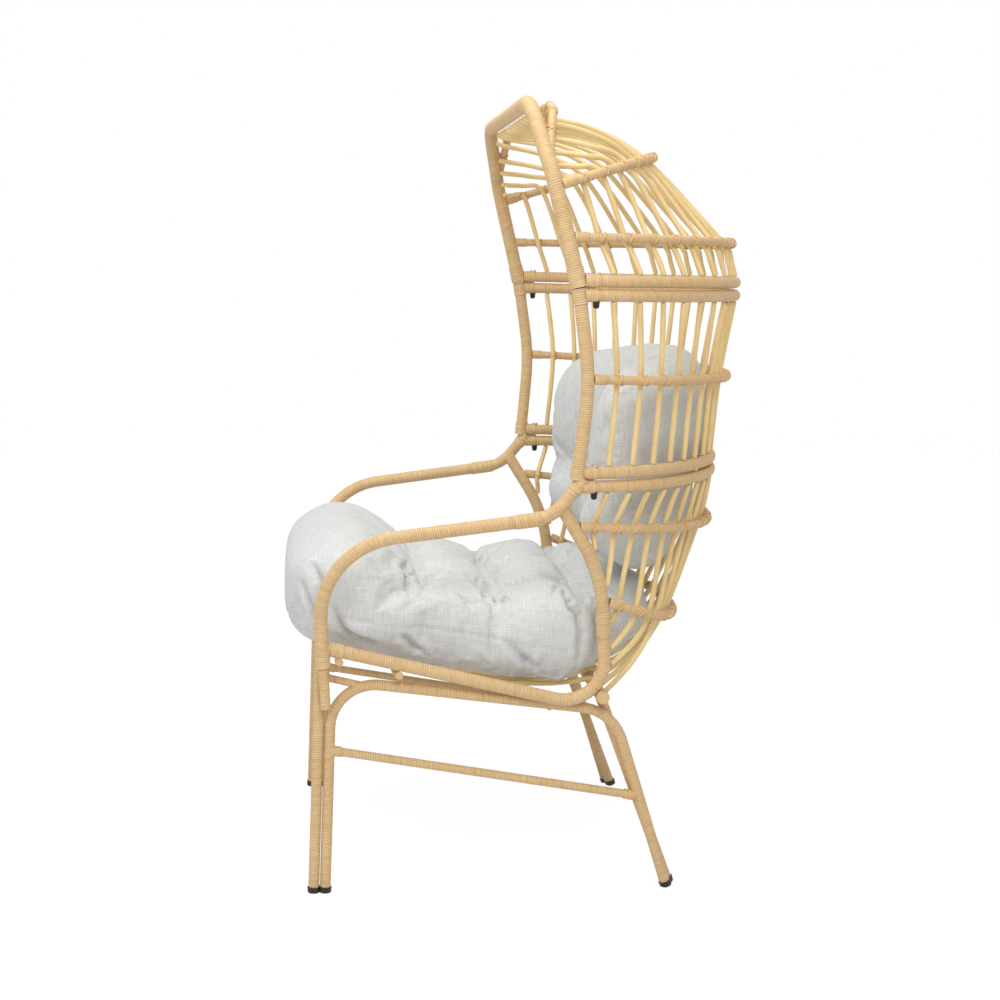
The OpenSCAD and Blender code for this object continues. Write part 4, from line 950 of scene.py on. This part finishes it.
def covered(piece, points, node):
    """Puts the final points on a cushion's skin and gives it its cloth and its body."""
    write(piece, points)
    piece.data.shade_smooth()
    fit(piece, linen, "linen", node, body=node + "_body")


linen = linen_finish()
seat_cushion = closed_grid("seat_cushion_cover", seat_skin)


def seat_pits(points, normals):
    """Sinks the top at the ties and along the folds before the skin is stuffed."""
    pit, lengthwise, crosswise = to_ties(points)
    upward = np.clip(normals[:, 2] * 1.6, 0, 1)
    points = points.copy()
    fold = np.maximum(0.012 * bell(lengthwise, 0.016), 0.030 * bell(crosswise, 0.014))
    points[:, 2] -= upward * np.maximum(0.046 * bell(pit, 0.040), fold)
    return points


def seat_held(points, normals):
    """The ties and the cloth on the ribs stay put; the folds give a little."""
    pit, lengthwise, crosswise = to_ties(points)
    top = normals[:, 2] > 0.2
    weights = np.where(top & (lengthwise < 0.005), 0.3, 0.0)
    weights = np.where(top & (crosswise < 0.005), 0.9, weights)
    weights = np.where(top & (pit < 0.011), 1.0, weights)
    under = np.clip((-normals[:, 2] - 0.35) * 2.2, 0, 1)
    return np.maximum(weights, under)


def seat_cap(points, normals):
    under_back = np.clip((points[:, 1] - 0.10) / 0.05, 0, 1) * np.clip(normals[:, 2], 0, 1)
    in_front = np.clip((-0.27 - points[:, 1]) / 0.08, 0, 1)
    on_top = np.clip(normals[:, 2], 0, 1) * (1 - in_front)
    return 0.024 - 0.022 * under_back - 0.018 * in_front - 0.010 * on_top * (1 - under_back)


remeshed(seat_cushion)
write(seat_cushion, seat_pits(read(seat_cushion), read(seat_cushion, "vertex_normals", "vector")))
seat_cushion.data.update()
skin_points, skin_normals = stuffed(seat_cushion, seat_held, seat_cap, 0.07)
seat_folds = [
    ([(0.19, -0.186, 0.595), (0.235, -0.20, 0.592), (0.30, -0.207, 0.580), (0.325, -0.21, 0.555)],
     0.012, 0.006),
    ([(0.21, -0.046, 0.575), (0.27, -0.055, 0.585), (0.32, -0.060, 0.565)], 0.010, 0.006),
    ([(0.325, -0.108, 0.578), (0.33, -0.100, 0.565), (0.33, -0.095, 0.540)], 0.009, 0.005),
    ([(0.33, -0.352, 0.520), (0.33, -0.335, 0.480), (0.33, -0.30, 0.462), (0.325, -0.27, 0.455)],
     0.013, 0.007),
    ([(0.33, -0.225, 0.480), (0.33, -0.205, 0.455), (0.325, -0.185, 0.440)], 0.012, 0.006),
    ([(0.33, -0.03, 0.465), (0.33, -0.005, 0.435), (0.325, 0.018, 0.412)], 0.012, 0.006),
    ([(0.30, 0.080, 0.600), (0.325, 0.095, 0.560), (0.33, 0.105, 0.500), (0.325, 0.100, 0.430)],
     0.012, 0.006),
    ([(0.28, 0.120, 0.600), (0.31, 0.135, 0.550), (0.315, 0.140, 0.500), (0.31, 0.130, 0.440)], 0.010, 0.005),
    ([(0.30, -0.400, 0.610), (0.33, -0.380, 0.570), (0.335, -0.365, 0.530)], 0.010, 0.007),
    ([(0.30, -0.425, 0.560), (0.33, -0.405, 0.520), (0.335, -0.385, 0.480)], 0.009, 0.006),
    ([(0.25, 0.090, 0.640), (0.29, 0.060, 0.600), (0.32, 0.050, 0.570)], 0.008, 0.005),
    ([(0.335, -0.340, 0.510), (0.335, -0.130, 0.485), (0.335, 0.080, 0.445)], 0.0026, 0.0035),
]
skin_points = folded(skin_points, skin_normals, seat_folds + [
    ([(-x, y, z) for x, y, z in path], depth, width) for path, depth, width in seat_folds])
floor_z = deck(skin_points[:, 0], skin_points[:, 1]) + 0.0006 - side_sag(skin_points[:, 0], skin_points[:, 1])
over_deck = (np.abs(skin_points[:, 0]) < 0.345) & (skin_points[:, 1] > -0.36) & (skin_points[:, 1] < 0.16)
skin_points[:, 2] = np.where(over_deck, np.maximum(skin_points[:, 2], floor_z), skin_points[:, 2])
over_rail = skin_points[:, 2] - np.interp(skin_points[:, 1], [-0.42, 0.145], [0.457, 0.342]) - 0.016
side_limit = 0.3365 + 0.011 * np.clip(over_rail / 0.020, 0, 1)
skin_points[:, 0] = np.clip(skin_points[:, 0], -side_limit, side_limit)
covered(seat_cushion, skin_points, "seat_cushion")

# ---- Back cushion ----
# The same linen and filling, bent to the inside of the basket. One sewn channel across it parts
# a fat lower lobe, which rests on the seat cushion, from a taller upper lobe.
back_clear, back_thick, back_high = 0.012, 0.150, 0.985


def back_level(z):
    """The basket's inside at a height: half width, depth and corner grow upwards, fast below
    0.7 m and slowly above it."""
    high = z > 0.7
    t = np.where(high, (z - 0.7) / 0.3, (z - 0.45) / 0.25)
    wide = np.where(high, 0.375 + 0.027 * t, 0.335 + 0.040 * t)
    deep = np.where(high, 0.313 + 0.029 * t, 0.236 + 0.077 * t)
    corner = np.where(high, 0.063, 0.075 - 0.012 * t)
    return wide, deep, corner, z, 0.0, 0.75 * deep


def back_place(across, rise, out):
    """Inside the basket at a share of the width, a rise of 0 to 1 and a depth of -1 to 1: the
    lower edge lies on the seat cushion's top."""
    lobe = 0.040 * np.maximum(0, -out) * bell(rise - 0.17, 0.2)
    inset = back_clear + (back_thick - 0.012) / 2 * (1 - out) + lobe
    rough = arch(back_level(0.59 + (back_high - 0.59) * rise), 0.5 + 0.385 * across, -inset)
    v = (rough[..., 1] - seat_mid_y) / seat_half_d
    reach = (np.abs(rough[..., 0] / seat_half_w) ** 3.33 + np.abs(v) ** 2.78) ** 0.36
    low = seat_top(rough[..., 0], rough[..., 1], np.minimum(0.92, reach)) + 0.004
    return arch(back_level(low + (back_high - 0.004 - low) * rise), 0.5 + 0.385 * across, -inset)


def back_skin(up, turn):
    """Closed skin: blunt power curves from side to side and round, pinched at the channel."""
    c = power(np.cos(up), 0.45)
    rise = 0.5 + 0.5 * c * power(np.sin(turn), 0.5)
    channel = bell(rise - 0.4, 0.05)
    out = c * power(np.cos(turn), 0.75) * (1 - np.where(np.cos(turn) < 0, 0.30, 0.08) * channel)
    return back_place(power(np.sin(up), 0.6), rise, out)


def outward(points):
    """Level directions from the basket's middle line."""
    return unit(points[:, :2] - [0, 0.02])


def back_channel_z(points):
    low = seat_top(points[:, 0], points[:, 1], 0.9)
    return low + 0.4 * (back_high - low)


def back_held(points, normals):
    rearward = (normals[:, :2] * outward(points)).sum(1)
    weights = np.maximum(np.clip((rearward - 0.3) * 2, 0, 1), np.clip((-normals[:, 2] - 0.4) * 2, 0, 1))
    front = (rearward < -0.2) & (np.abs(points[:, 2] - back_channel_z(points)) < 0.005)
    return np.maximum(weights, front * 0.8)


back_cushion = closed_grid("back_cushion_cover", lambda up, turn: back_skin(up, -turn))
skin_points, skin_normals = stuffed(back_cushion, back_held, lambda p, n: np.full(len(p), 0.024), 0.07)
covered(back_cushion, skin_points, "back_cushion")

# ---- Floor, light and air ----
# A plain pale floor under a bright even room, with one broad soft lamp above and two at the
# side, so that the chair throws only a faint shadow.
floor_mesh = bpy.data.meshes.new("floor")
floor_mesh.from_pydata([(-9, -9, 0), (9, -9, 0), (9, 9, 0), (-9, 9, 0)], [], [(0, 1, 2, 3)])
floor = bpy.data.objects.new("floor", floor_mesh)
scene.collection.objects.link(floor)
floor_finish, tree, skin = shaded("floor", Roughness=0.9, Specular_IOR_Level=0.1)
skin.inputs["Base Color"].default_value = (0.86, 0.86, 0.86, 1)
white = add(tree, "Emission", {"Color": (1, 1, 1, 1), "Strength": 1.13})


def lit_by_view(tree, plain, bright, share, output):
    """Shows a share of the bright shader to view and gloss rays, and the plain one to all others."""
    path = add(tree, "LightPath").outputs
    seen = maths(tree, "MAXIMUM", path["Is Camera Ray"], path["Is Glossy Ray"])
    mix = add(tree, "MixShader", {0: times(tree, seen, share), 1: plain.outputs[0], 2: bright.outputs[0]})
    tree.links.new(mix.outputs[0], tree.nodes[output].inputs["Surface"])


lit_by_view(tree, skin, white, 0.80, "Material Output")
floor_mesh.materials.append(floor_finish)

world = bpy.data.worlds.new("room")
scene.world = world
world.use_nodes = True
tree = world.node_tree
room = tree.nodes["Background"]
room.inputs["Color"].default_value = (1, 1, 1, 1)
room.inputs["Strength"].default_value = 0.52
bright = add(tree, "Background", {"Color": (1, 1, 1, 1), "Strength": 1.0})
lit_by_view(tree, room, bright, 1.0, "World Output")


def lamp(name, place, target, size, power_w):
    """A square lamp of the given side, turned to its target."""
    light = bpy.data.lights.new(name, "AREA")
    light.shape, light.size, light.size_y, light.energy = "RECTANGLE", size, size, power_w
    holder = bpy.data.objects.new(name, light)
    aim = Vector(target) - Vector(place)
    holder.matrix_world = Matrix.Translation(place) @ aim.to_track_quat("-Z", "Y").to_matrix().to_4x4()
    scene.collection.objects.link(holder)


lamp("overhead", (0.4, -0.6, 3.4), (0, 0, 0.6), 2.2, 50)
lamp("side", (2.6, -2.4, 2.2), (0, 0, 0.7), 1.6, 22)
lamp("high side", (2.4, 0.3, 2.3), (0.3, 0.1, 1.25), 1.0, 20)
